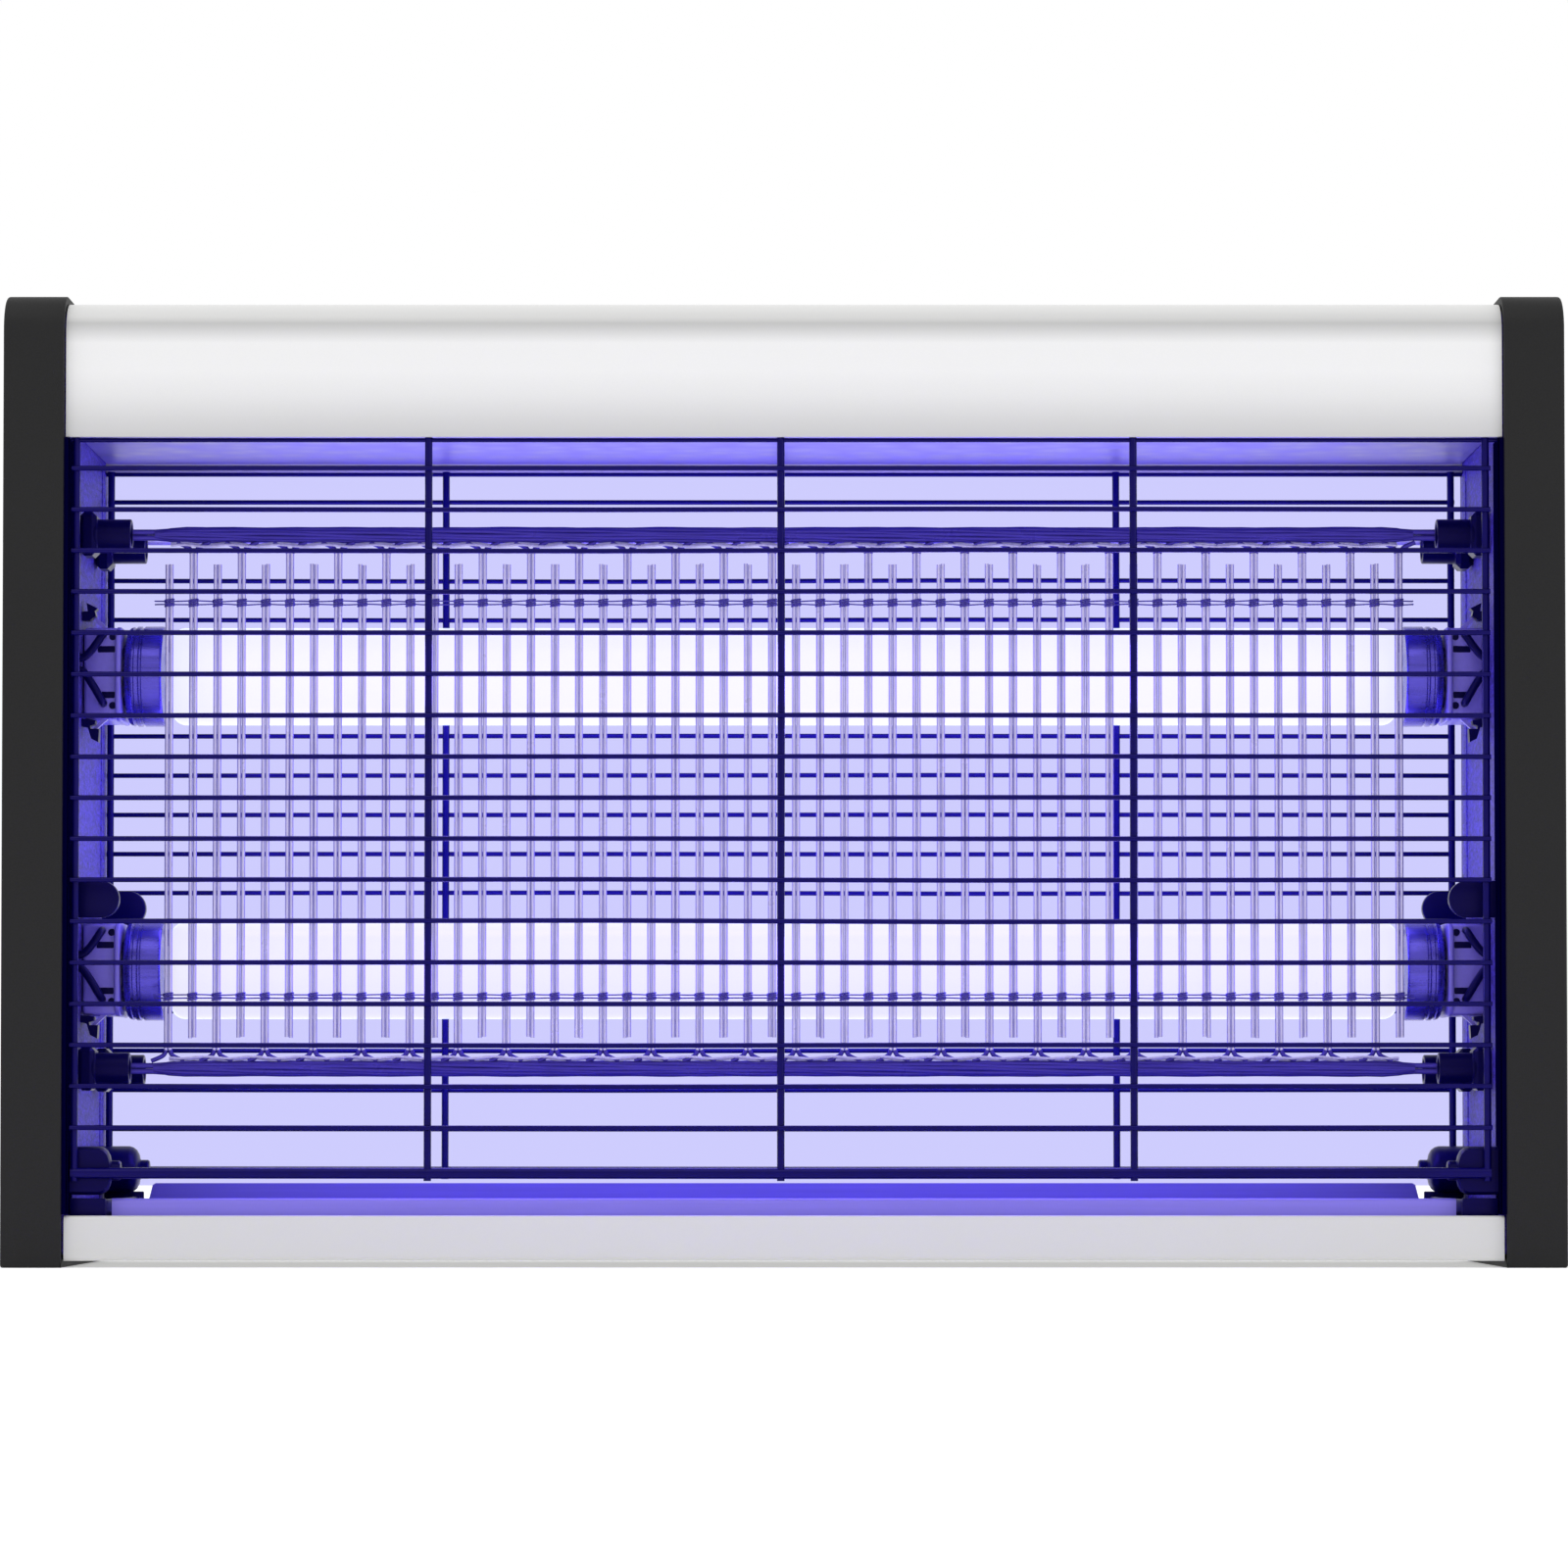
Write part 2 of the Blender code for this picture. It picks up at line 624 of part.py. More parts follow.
def terminal_block():
    floor = CHASSIS_LOW + SHEET + GAP
    block = box("terminal_block", (94, -16, floor), (106, 16, floor + 9), "terminal_nylon", 0.6, 1)
    for n in range(4):
        y = -12 + 8 * n
        post = box("post", (96, y - 2.4, floor + 6), (104, y + 2.4, floor + 14), "terminal_nylon")
        join(block, post)
    return block


def switch_frame():
    """The snap-in frame and case of the rocker switch, open at the rear of the appliance."""
    x, z = SWITCH_X, SWITCH_Z
    frame = box("switch_frame", (x - 10.6, 38.8, z - 7.4), (x + 10.6, 39.9, z + 7.4), "black_plastic")
    join(frame, box("case", (x - 8.9, 26.0, z - 5.9), (x + 8.9, 39.2, z + 5.9), "black_plastic"))
    well = ((x - 7.9, 28.0, z - 4.9), (x + 7.9, 45.0, z + 4.9))
    return cut(frame, box("well", *well, "black_plastic"))


def switch_rocker():
    """A rocker with a shallow V top, tipped over to its off side."""
    outline = [(-5.0, -3.0), (5.0, -3.0), (7.0, 5.0), (0.0, 3.6), (-7.0, 5.0)]
    turn = math.radians(-ROCKER_TILT)
    tilted = []
    for u, v in outline:
        x = SWITCH_X + u * math.cos(turn) - v * math.sin(turn)
        y = ROCKER_PIVOT_Y + u * math.sin(turn) + v * math.cos(turn)
        tilted.append((x, y))
    return extruded(
        "switch_rocker", tilted, "Z", SWITCH_Z - 4.6, SWITCH_Z + 4.6, "black_plastic",
        smooth=False,
    )


def cord_gland():
    """The grommet that the mains cord would leave by, with its bore open."""
    profile = [
        (33.0, 0), (33.0, 5.0), (38.8, 5.0), (38.8, 7.5), (39.6, 7.5), (40.3, 6.4), (40.3, 0),
    ]
    gland = turned("cord_gland", profile, "Y", (GLAND_X, 0, GLAND_Z), "black_plastic", 16)
    bore = [(30.0, 0), (30.0, 3.3), (45.0, 3.3), (45.0, 0)]
    return cut(gland, turned("bore", bore, "Y", (GLAND_X, 0, GLAND_Z), "black_plastic", 12))


# --- Hanging rings --------------------------------------------------------------------------


def hanging_ring(side, name):
    """A closed loop of wire with a straight bar under its bracket, folded flat to the rear."""
    half, reach, corner = 8.0, 17.0, 6.0
    path = arc((half - corner, reach - corner), corner, 0, 90, 4)
    path += arc((corner - half, reach - corner), corner, 90, 180, 4)
    path = [(half, 0.0), (half, reach - corner - 2)] + path + [(-half, reach - corner - 2), (-half, 0.0)]
    curve = bpy.data.curves.new(name, "CURVE")
    curve.dimensions = "3D"
    spline = curve.splines.new("POLY")
    spline.points.add(len(path) - 1)
    spline.use_cyclic_u = True
    for point, (x, y) in zip(spline.points, path):
        point.co = ((side * RING_X + x) * MM, y * MM, RING_Z * MM, 1.0)
    curve.bevel_depth = RING_WIRE * MM
    curve.bevel_resolution = 1
    ring = bpy.data.objects.new(name, curve)
    bpy.context.scene.collection.objects.link(ring)
    curve.materials.append(material("ring_steel"))
    return ring


def ring_bracket(side, name):
    """A staple over the ring's straight bar, riveted to the housing."""
    x = side * RING_X
    floor = HOUSING_HIGH + GAP
    staple = box(name, (x - 4.5, -4.5, floor), (x + 4.5, -1.25, floor + 0.6), "ring_steel")
    wall = box("wall", (x - 4.5, -1.85, floor + 0.1), (x + 4.5, -1.25, 245.1), "ring_steel")
    roof = box("roof", (x - 4.5, -1.8, 244.5), (x + 4.5, 1.8, 245.15), "ring_steel")
    nose = box("nose", (x - 4.5, 1.25, floor), (x + 4.5, 1.85, 245.0), "ring_steel")
    return join(join(join(staple, wall), roof), nose)


# --- Assembly -------------------------------------------------------------------------------


def build_casing():
    for side, word in ((-1, "left"), (1, "right")):
        end_cap(side, f"{word}_end_cap")
        side_plate(side, f"{word}_side_plate")
        tray_rail(side, f"{word}_tray_rail")
        ring_bracket(side, f"{word}_ring_bracket")
        ring = hanging_ring(side, f"{word}_hanging_ring")
        hang_on(f"{word}_ring_axis", (side * RING_X, 0, RING_Z), [ring])
    top_housing()
    chassis_plate()
    base_plate()


def build_grid():
    grid_comb("upper_grid_comb", GRID_HIGH_Z, PAIR_LOW_FREE, 1)
    grid_comb("lower_grid_comb", GRID_LOW_Z, PAIR_TOP_FREE, 0)
    spacer_thread("upper_spacer_thread", THREAD_HIGH_Z)
    spacer_thread("lower_spacer_thread", THREAD_LOW_Z)
    rear_rod("rear_upper_rod", REAR_ROD_Z[0])
    rear_rod("rear_lower_rod", REAR_ROD_Z[1])
    for side, word in ((-1, "left"), (1, "right")):
        for front, face in ((-1, "front"), (1, "rear")):
            for level, z in (("upper", GRID_HIGH_Z), ("lower", GRID_LOW_Z)):
                insulator(side, front, z, f"{face}_{level}_{word}_insulator")


def build_lamps():
    for level, z in LAMP_Z.items():
        turning = [lamp_tube(level, z)]
        for side, word in ((-1, "left"), (1, "right")):
            turning.append(lamp_base(side, level, z, f"{level}_lamp_base_{word}"))
            turning.append(lampholder_rotor(side, z, f"{level}_rotor_{word}"))
            lampholder(side, z, f"{level}_lampholder_{word}")
            lamp_lead(side, z, f"{level}_lamp_lead_{word}")
        hang_on(f"{level}_lamp_axis", (0, 0, z), turning)


def build_guards():
    for front, face in ((-1, "front"), (1, "rear")):
        wires = guard(front, f"{face}_guard")
        hang_on(f"{face}_guard_axis", (0, front * GUARD_Y, GUARD_AXIS_Z), [wires])
        for side, word in ((-1, "left"), (1, "right")):
            guard_clip(side, front, f"{face}_{word}_guard_clip")


def build_electrics():
    ballast("front_ballast", -1)
    ballast("rear_ballast", 1)
    hv_transformer()
    terminal_block()
    switch_frame()
    hang_on("rocker_axis", (SWITCH_X, ROCKER_PIVOT_Y, SWITCH_Z), [switch_rocker()])
    cord_gland()


def main():
    clear_scene()
    build_casing()
    hang_on("tray_slide", (0, 0, TRAY_LOW), [tray_pan(), tray_fascia()])
    build_guards()
    build_grid()
    build_lamps()
    build_electrics()


main()
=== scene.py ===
"""The finished look of an electric bug zapper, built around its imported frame."""

import json
import math

import bmesh
import bpy
from bpy.props import FloatProperty, FloatVectorProperty, IntProperty, PointerProperty
from bpy.types import Operator, Panel, PropertyGroup
from mathutils import Matrix, Vector

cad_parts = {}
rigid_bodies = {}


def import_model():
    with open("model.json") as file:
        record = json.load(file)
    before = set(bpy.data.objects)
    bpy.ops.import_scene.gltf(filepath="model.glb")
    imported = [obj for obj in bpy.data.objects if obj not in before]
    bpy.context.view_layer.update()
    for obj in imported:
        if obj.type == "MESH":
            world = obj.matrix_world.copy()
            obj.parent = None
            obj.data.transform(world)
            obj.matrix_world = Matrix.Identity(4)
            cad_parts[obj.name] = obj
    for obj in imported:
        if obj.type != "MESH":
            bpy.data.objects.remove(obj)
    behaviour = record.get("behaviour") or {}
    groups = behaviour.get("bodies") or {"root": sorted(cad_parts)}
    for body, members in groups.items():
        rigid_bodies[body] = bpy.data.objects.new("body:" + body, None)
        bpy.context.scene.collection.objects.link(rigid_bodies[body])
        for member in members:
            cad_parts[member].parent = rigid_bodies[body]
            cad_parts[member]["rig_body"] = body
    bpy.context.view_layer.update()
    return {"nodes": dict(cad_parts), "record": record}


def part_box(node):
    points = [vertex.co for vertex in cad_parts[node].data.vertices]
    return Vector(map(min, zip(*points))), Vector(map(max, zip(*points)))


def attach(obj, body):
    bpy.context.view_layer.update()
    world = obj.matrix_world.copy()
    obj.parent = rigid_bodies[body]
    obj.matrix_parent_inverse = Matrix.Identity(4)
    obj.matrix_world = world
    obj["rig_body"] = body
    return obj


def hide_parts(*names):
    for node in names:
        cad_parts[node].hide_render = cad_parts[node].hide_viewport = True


bl_info = {
    "name": "Bug Zapper",
    "version": (1, 0, 0),
    "blender": (4, 5, 0),
    "location": "3D View > Sidebar > Bug Zapper",
    "description": "Builds the visible pieces and finishes of an electric bug zapper",
    "category": "Object",
}

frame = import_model()

MM = 0.001
SIDES = ((-1, "left"), (1, "right"))
FACES = ((-1, "front"), (1, "rear"))
LEVELS = ("upper", "lower")
# Painted reflection: a violet tint for highlights, standing for the lamps' light.
PAINTED_VIOLET_GLINT = (0.35, 0.28, 1.0)
WHITE = (1.0, 1.0, 1.0)


def node_box(name):
    """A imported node's lowest and highest corners in millimetres."""
    low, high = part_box(name)
    return Vector(low) / MM, Vector(high) / MM


def node_middle(name):
    low, high = node_box(name)
    return (low + high) / 2


def node_reach(name):
    """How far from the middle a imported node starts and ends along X."""
    low, high = node_box(name)
    return sorted((abs(low.x), abs(high.x)))


def size_of(name, about, default, **limits):
    """A length setting in millimetres."""
    return FloatProperty(name=name, description=about, default=default, **limits)


def shade_of(name, about, default):
    """A colour setting with linear values."""
    return FloatVectorProperty(
        name=name, description=about, default=default, subtype="COLOR", min=0.0, max=1.0
    )


# --- Settings -------------------------------------------------------------------------------


class ZapperSizes(PropertyGroup):
    """Sizes of the visible details, in millimetres."""

    cap_wall: size_of("Cap wall", "Wall thickness of an end cap", 2.3, min=1.0)
    cap_round: size_of("Cap edge", "Rounding of a cap's outer rim", 4.8, min=0.5)
    housing_radius: size_of("Housing bend", "Radius of the housing's long bends", 8.0)
    guard_post: size_of("Guard post", "Diameter of a guard's upright wires", 1.9)
    guard_row: size_of("Guard row", "Diameter of a guard's level wires", 1.3)
    guard_rod: size_of("Guard rod", "Diameter of a guard's bottom rod", 2.8)
    guard_pitch: size_of("Row pitch", "Distance between a guard's level wires", 10.34)
    guard_rows: IntProperty(
        name="Rows", description="Number of level wires in a guard", default=17, min=2
    )
    grid_wire: size_of("Grid wire", "Diameter of one high-voltage wire", 1.0)
    grid_pairs: IntProperty(
        name="Wire pairs", description="Number of wire pairs in the grid", default=52, min=4
    )
    grid_pitch: size_of("Pair pitch", "Distance between neighbouring pairs", 6.133)
    thread: size_of("Thread", "Diameter of the spacer thread", 0.36)
    lead: size_of("Lead", "Diameter of a lamp's lead", 2.05)


class ZapperColours(PropertyGroup):
    """Colours of the finishes, as linear values. The inner parts' colours have the lamps' violet
    light painted in.
    """

    cap: shade_of("Caps", "Dark plastic of the end caps", (0.0085, 0.0085, 0.0087))
    housing: shade_of("Housing", "Coated metal of the housing", (0.72, 0.72, 0.715))
    panel: shade_of("Panels", "Coated metal of the lower panels", (0.565, 0.565, 0.55))
    # Painted light: side to lamp_base are the parts' own grey, white and black with the lamps'
    # violet light painted in.
    side: shade_of("Side plates", "Textured plastic beside the grid", (0.078, 0.052, 0.42))
    violet_metal: shade_of("Inner metal", "Sheet metal lit by the lamps", (0.165, 0.135, 0.52))
    guard: shade_of("Guards", "Coating of the wire guards", (0.0012, 0.0005, 0.058))
    grid: shade_of("Grid", "Drawn wire of the grid", (0.66, 0.62, 1.0))
    bundle: shade_of("Bundles", "Twisted bundles that hold the grid", (0.055, 0.038, 0.36))
    black: shade_of("Black plastic", "Insulators, pegs and leads", (0.0012, 0.0006, 0.040))
    holder: shade_of("Lampholders", "Moulding of the lampholders", (0.17, 0.13, 0.62))
    lamp_base: shade_of("Lamp bases", "Metal caps of the lamps", (0.095, 0.075, 0.50))
    glow: shade_of("Glow", "Light of the lamps", (0.93, 0.925, 0.985))


class ZapperStage(PropertyGroup):
    """Camera and light."""

    distance: FloatProperty(
        name="Distance", description="Camera's distance from the middle", default=1.418,
        unit="LENGTH",
    )
    eye: FloatProperty(
        name="Eye height", description="Camera's height", default=0.0314, unit="LENGTH"
    )
    lens: FloatProperty(name="Lens", description="Focal length in millimetres", default=126.8)
    pitch: FloatProperty(
        name="Pitch", description="How far the camera looks up", default=math.radians(1.76),
        subtype="ANGLE",
    )
    shift: FloatProperty(name="Shift", description="Vertical shift of the lens", default=0.12)
    world: FloatProperty(name="Surround", description="Brightness all round", default=1.0)
    backdrop: shade_of("Backdrop glow", "The lamps' glow behind the appliance", (0.62, 0.61, 0.99))
    glow: FloatProperty(name="Violet light", description="Power of the lamps' light", default=0.16)


# --- Finishes -------------------------------------------------------------------------------


class Signal:
    """A shader socket that Python's arithmetic works on."""

    def __init__(self, graph, socket):
        self.graph = graph
        self.socket = socket

    def _math(self, operation, *values):
        return self.graph.node("ShaderNodeMath", {"operation": operation}, dict(enumerate(values)))

    def __add__(self, other):
        return self._math("ADD", self, other)

    def __radd__(self, other):
        return self._math("ADD", other, self)

    def __mul__(self, other):
        return self._math("MULTIPLY", self, other)

    def __truediv__(self, other):
        return self._math("DIVIDE", self, other)

    def __pow__(self, other):
        return self._math("POWER", self, other)

    def __abs__(self):
        return self._math("ABSOLUTE", self)

    def at_least(self, other):
        return self._math("MAXIMUM", self, other)


class Graph:
    """A node tree whose nodes are made through one method."""

    def __init__(self, tree):
        self.nodes, self.links = tree.nodes, tree.links

    def feed(self, socket, value):
        if isinstance(value, Signal):
            self.links.new(value.socket, socket)
        else:
            socket.default_value = value

    def node(self, kind, settings=None, inputs=None, output=0):
        """Makes a node: its settings first, then the values or links of its sockets."""
        made = self.nodes.new(kind)
        for key, value in (settings or {}).items():
            if key == "stops":
                self.set_stops(made.color_ramp, value)
            else:
                setattr(made, key, value)
        for key, value in (inputs or {}).items():
            self.feed(made.inputs[key], value)
        return Signal(self, made.outputs[output])

    def set_stops(self, ramp, stops):
        for element, (position, shade) in zip(ramp.elements, (stops[0], stops[-1])):
            element.position, element.color = position, grey(shade)
        for position, shade in stops[1:-1]:
            ramp.elements.new(position).color = grey(shade)

    def axis(self, place, letter):
        return self.node("ShaderNodeSeparateXYZ", None, {0: place}, output=letter)

    def fade(self, value, start, end, kind="LINEAR"):
        """0 where the value is at the start, rising to 1 at the end."""
        sockets = {"Value": value, "From Min": start, "From Max": end}
        return self.node("ShaderNodeMapRange", {"interpolation_type": kind}, sockets)

    def mix(self, factor, first, second):
        sockets = {0: factor, 6: colour(first), 7: colour(second)}
        return self.node("ShaderNodeMix", {"data_type": "RGBA"}, sockets, output=2)


class Finish(Graph):
    """A Principled material that varies with the object's own coordinates."""

    def __init__(self, name):
        plain = bpy.data.materials.get(name)
        if plain:
            bpy.data.materials.remove(plain)
        self.material = bpy.data.materials.new(name)
        self.material.use_nodes = True
        super().__init__(self.material.node_tree)
        self.shader = self.nodes["Principled BSDF"]
        self.place = self.node("ShaderNodeTexCoord", output="Object")

    def stretched(self, scale):
        return self.node("ShaderNodeMapping", None, {"Vector": self.place, "Scale": scale})

    def noise(self, scale, detail=2.0, rough=0.5, stretch=(1, 1, 1)):
        sockets = {
            "Vector": self.stretched(stretch), "Scale": scale, "Detail": detail,
            "Roughness": rough,
        }
        return self.node("ShaderNodeTexNoise", None, sockets)

    def cells(self, scale):
        sockets = {"Vector": self.stretched((1, 1, 1)), "Scale": scale}
        return self.node("ShaderNodeTexVoronoi", None, sockets)

    def bands(self, scale, direction="X", distortion=0.0):
        settings = {"bands_direction": direction}
        sockets = {"Vector": self.place, "Scale": scale, "Distortion": distortion}
        return self.node("ShaderNodeTexWave", settings, sockets, output="Fac")

    def ramp(self, factor, stops):
        return self.node("ShaderNodeValToRGB", {"stops": stops}, {"Fac": factor})

    def bump(self, height, strength, distance):
        sockets = {"Height": height, "Strength": strength, "Distance": distance}
        return self.node("ShaderNodeBump", None, sockets)

    def rim(self, sharpness, other):
        """Paints a rim: another finish's shader takes over where the surface turns away."""
        facing = self.node("ShaderNodeLayerWeight", None, {"Blend": 0.5}, output="Facing")
        blend = self.nodes.new("ShaderNodeMixShader")
        self.feed(blend.inputs[0], facing ** sharpness)
        edge = self.nodes.new("ShaderNodeBsdfPrincipled")
        for key, value in other.items():
            self.feed(edge.inputs[key.replace("_", " ")], value)
        self.links.new(self.shader.outputs[0], blend.inputs[1])
        self.links.new(edge.outputs[0], blend.inputs[2])
        self.links.new(blend.outputs[0], self.nodes["Material Output"].inputs["Surface"])
        return self

    def set(self, **values):
        """Sets the shader's own sockets, whose names have _ for a space."""
        for key, value in values.items():
            self.feed(self.shader.inputs[key.replace("_", " ")], value)
        return self


def grey(shade):
    return (shade, shade, shade, 1.0) if isinstance(shade, (int, float)) else colour(shade)


def colour(value):
    if isinstance(value, Signal):
        return value
    return (*tuple(value)[:3], 1.0)


def scaled(shade, factor):
    return tuple(min(1.0, part * factor) for part in tuple(shade)[:3])


def moulded(name, shade, rough, grain_scale, depth, spread=0.35, level=0.35, tint=WHITE):
    """Moulded plastic with a fine spark-eroded grain and faint cloudy variation."""
    finish = Finish(name)
    grain = finish.noise(grain_scale, 4.0, 0.65)
    cloud = finish.noise(55.0, 3.0, 0.5)
    shade_mix = finish.mix(grain, scaled(shade, 1 - spread), scaled(shade, 1 + spread))
    tone = finish.mix(cloud * 0.5, shade_mix, scaled(shade, 1.25))
    return finish.set(
        Base_Color=tone, Roughness=rough - 0.06 + grain * 0.12, Specular_IOR_Level=level,
        Specular_Tint=colour(tint), Normal=finish.bump(grain, 0.35, depth),
    )


def coated_sheet(name, shade, metallic, rough, shaded):
    """Powder-coated sheet: faint orange peel, fine flakes, and painted shade that darkens it
    towards the lip and along the top bend.
    """
    finish = Finish(name)
    height = finish.axis(finish.place, "Z")
    peel = finish.noise(420.0, 2.0, 0.5)
    flakes = finish.noise(3800.0, 2.0, 0.6)
    blotch = finish.noise(9.0, 3.0, 0.55, (0.35, 1, 1))
    tone = finish.mix(flakes, scaled(shade, 0.965), scaled(shade, 1.03))
    tone = finish.mix(blotch * 0.35, tone, scaled(shade, 0.95))
    # Painted shade: darker towards the lower lip and along the bend near the top, by the amount in
    # shaded.
    painted_shade = finish.ramp(finish.fade(height, 0.2065, 0.2425), [
        (0.0, 0.86), (0.14, 0.62), (0.34, 0.2), (0.5, 0.0), (0.70, 0.0), (0.84, 0.97),
        (0.93, 0.35), (1.0, 0.06),
    ])
    tone = finish.mix(painted_shade * shaded, tone, scaled(shade, 0.45))
    return finish.set(
        Base_Color=tone, Metallic=metallic, Roughness=rough + peel * 0.08,
        Specular_IOR_Level=0.3, Coat_Weight=0.05, Coat_Roughness=0.25,
        Normal=finish.bump(peel, 0.12, 0.00012),
    )


def brushed(name, shade, metallic, rough, stretch, spread=0.18, depth=0.00004):
    """Metal with streaks along one direction and a few darker smudges."""
    finish = Finish(name)
    streak = finish.noise(900.0, 3.0, 0.6, stretch)
    smudge = finish.noise(30.0, 3.0, 0.6)
    tone = finish.mix(streak, scaled(shade, 1 - spread), scaled(shade, 1 + spread))
    tone = finish.mix(smudge * 0.4, tone, scaled(shade, 0.8))
    return finish.set(
        Base_Color=tone, Metallic=metallic, Roughness=rough + streak * 0.16,
        Normal=finish.bump(streak, 0.2, depth),
    )


def speckled_plastic(name, shade):
    """Coarsely textured plastic with a speckle of lighter grains."""
    finish = Finish(name)
    pebble = finish.noise(900.0, 5.0, 0.85, (1, 0.3, 1))
    fine = finish.noise(4200.0, 2.0, 0.6, (1, 0.3, 1))
    height = pebble * 0.7 + fine * 0.3
    speckle = finish.ramp(height, [(0.40, 0.0), (0.50, 0.45), (0.60, 1.0)])
    tone = finish.mix(speckle, scaled(shade, 0.28), scaled(shade, 1.3))
    return finish.set(
        Base_Color=tone, Roughness=0.42 + pebble * 0.2, Specular_IOR_Level=0.15,
        Specular_Tint=colour(PAINTED_VIOLET_GLINT),
        Normal=finish.bump(height, 0.8, 0.0004),
    )


def glossy_coating(name, shade):
    """Dipped plastic coating on wire: glossy, with runs and tiny pimples."""
    finish = Finish(name)
    runs = finish.noise(160.0, 3.0, 0.55)
    pimples = finish.cells(900.0)
    tone = finish.mix(runs, scaled(shade, 0.7), scaled(shade, 1.5))
    return finish.set(
        Base_Color=tone, Roughness=0.16 + runs * 0.12, Specular_IOR_Level=0.3,
        Specular_Tint=colour(PAINTED_VIOLET_GLINT),
        Normal=finish.bump(pimples + runs, 0.12, 0.00008),
    )


def drawn_wire(name, shade, edge, stretch):
    """Drawn wire with lengthwise die lines and tarnish, and painted shade: darker where it turns
    away.
    """
    finish = Finish(name)
    lines = finish.noise(1400.0, 2.0, 0.6, stretch)
    tarnish = finish.noise(90.0, 4.0, 0.6)
    tone = finish.mix(lines, scaled(shade, 0.7), scaled(shade, 1.3))
    tone = finish.mix(tarnish ** 3.0, tone, scaled(shade, 0.5))
    finish.set(
        Base_Color=tone, Metallic=0.25, Roughness=0.2 + tarnish * 0.2,
        Specular_Tint=colour(PAINTED_VIOLET_GLINT), Normal=finish.bump(lines, 0.15, 0.00003),
    )
    # Painted shade: a dark rim in the edge colour where the wire turns away from view.
    return finish.rim(0.6, {
        "Base_Color": finish.mix(lines, scaled(edge, 0.9), scaled(edge, 1.8)),
        "Metallic": 0.0, "Roughness": 0.5, "Specular_IOR_Level": 0.0,
    })


def spun_thread(name, shade):
    """Waxed thread: slanting plies and loose fibre."""
    finish = Finish(name)
    plies = finish.bands(1100.0, "DIAGONAL", 2.0)
    fibre = finish.noise(5200.0, 2.0, 0.6)
    tone = finish.mix(plies, scaled(shade, 0.5), scaled(shade, 1.5))
    return finish.set(
        Base_Color=tone, Roughness=0.6 + fibre * 0.2,
        Normal=finish.bump(plies + fibre, 0.4, 0.0001),
    )


def glowing_glass(name, shade):
    """A lit tube: even light behind frosted glass, dimmer towards the electrodes."""
    finish = Finish(name)
    along, height = abs(finish.axis(finish.place, "X")), finish.axis(finish.place, "Z")
    ends = finish.fade(along, 0.138, 0.160, "SMOOTHSTEP")
    lower = finish.fade(height, 0.125, 0.100)
    powder = finish.noise(260.0, 3.0, 0.6)
    frost = finish.noise(2400.0, 2.0, 0.5)
    lit = finish.mix(powder * 0.3, shade, scaled(shade, 0.95))
    light = finish.mix(ends * 0.6, lit, (0.80, 0.82, 0.99))
    light = finish.mix(lower, light, (0.84, 0.83, 0.955))
    finish.set(
        Base_Color=finish.mix(frost, (0.10, 0.10, 0.12), (0.13, 0.13, 0.15)),
        Emission_Color=light, Emission_Strength=0.92, Roughness=0.25 + frost * 0.08,
        Specular_IOR_Level=0.2, Normal=finish.bump(frost, 0.05, 0.00002),
    )
    # Painted highlight: a blue glowing edge where the tube turns away, standing for the glass's
    # refraction.
    return finish.rim(9.0, {
        "Base_Color": (0.25, 0.45, 0.9, 1.0), "Roughness": 0.1,
        "Emission_Color": (0.42, 0.62, 1.0, 1.0), "Emission_Strength": 0.75,
    })


def laminated(name, shade):
    """A stack of thin steel sheets under brown varnish."""
    finish = Finish(name)
    sheets = finish.bands(420.0, "Y")
    varnish = finish.noise(70.0, 3.0, 0.6)
    tone = finish.mix(sheets, scaled(shade, 0.5), scaled(shade, 1.2))
    tone = finish.mix(varnish * 0.4, tone, (0.12, 0.06, 0.03))
    return finish.set(
        Base_Color=tone, Metallic=0.6, Roughness=0.35 + varnish * 0.2,
        Normal=finish.bump(sheets, 0.4, 0.0002),
    )


def spangled(name, shade):
    """Zinc-plated sheet with faint crystal spangle and rolling lines."""
    finish = Finish(name)
    spangle = finish.cells(130.0)
    rolled = finish.noise(700.0, 2.0, 0.5, (0.02, 1, 1))
    tone = finish.mix(spangle, scaled(shade, 0.82), scaled(shade, 1.1))
    tone = finish.mix(rolled * 0.3, tone, scaled(shade, 0.9))
    return finish.set(
        Base_Color=tone, Metallic=0.55, Roughness=0.34 + spangle * 0.2,
        Normal=finish.bump(rolled, 0.1, 0.00003),
    )


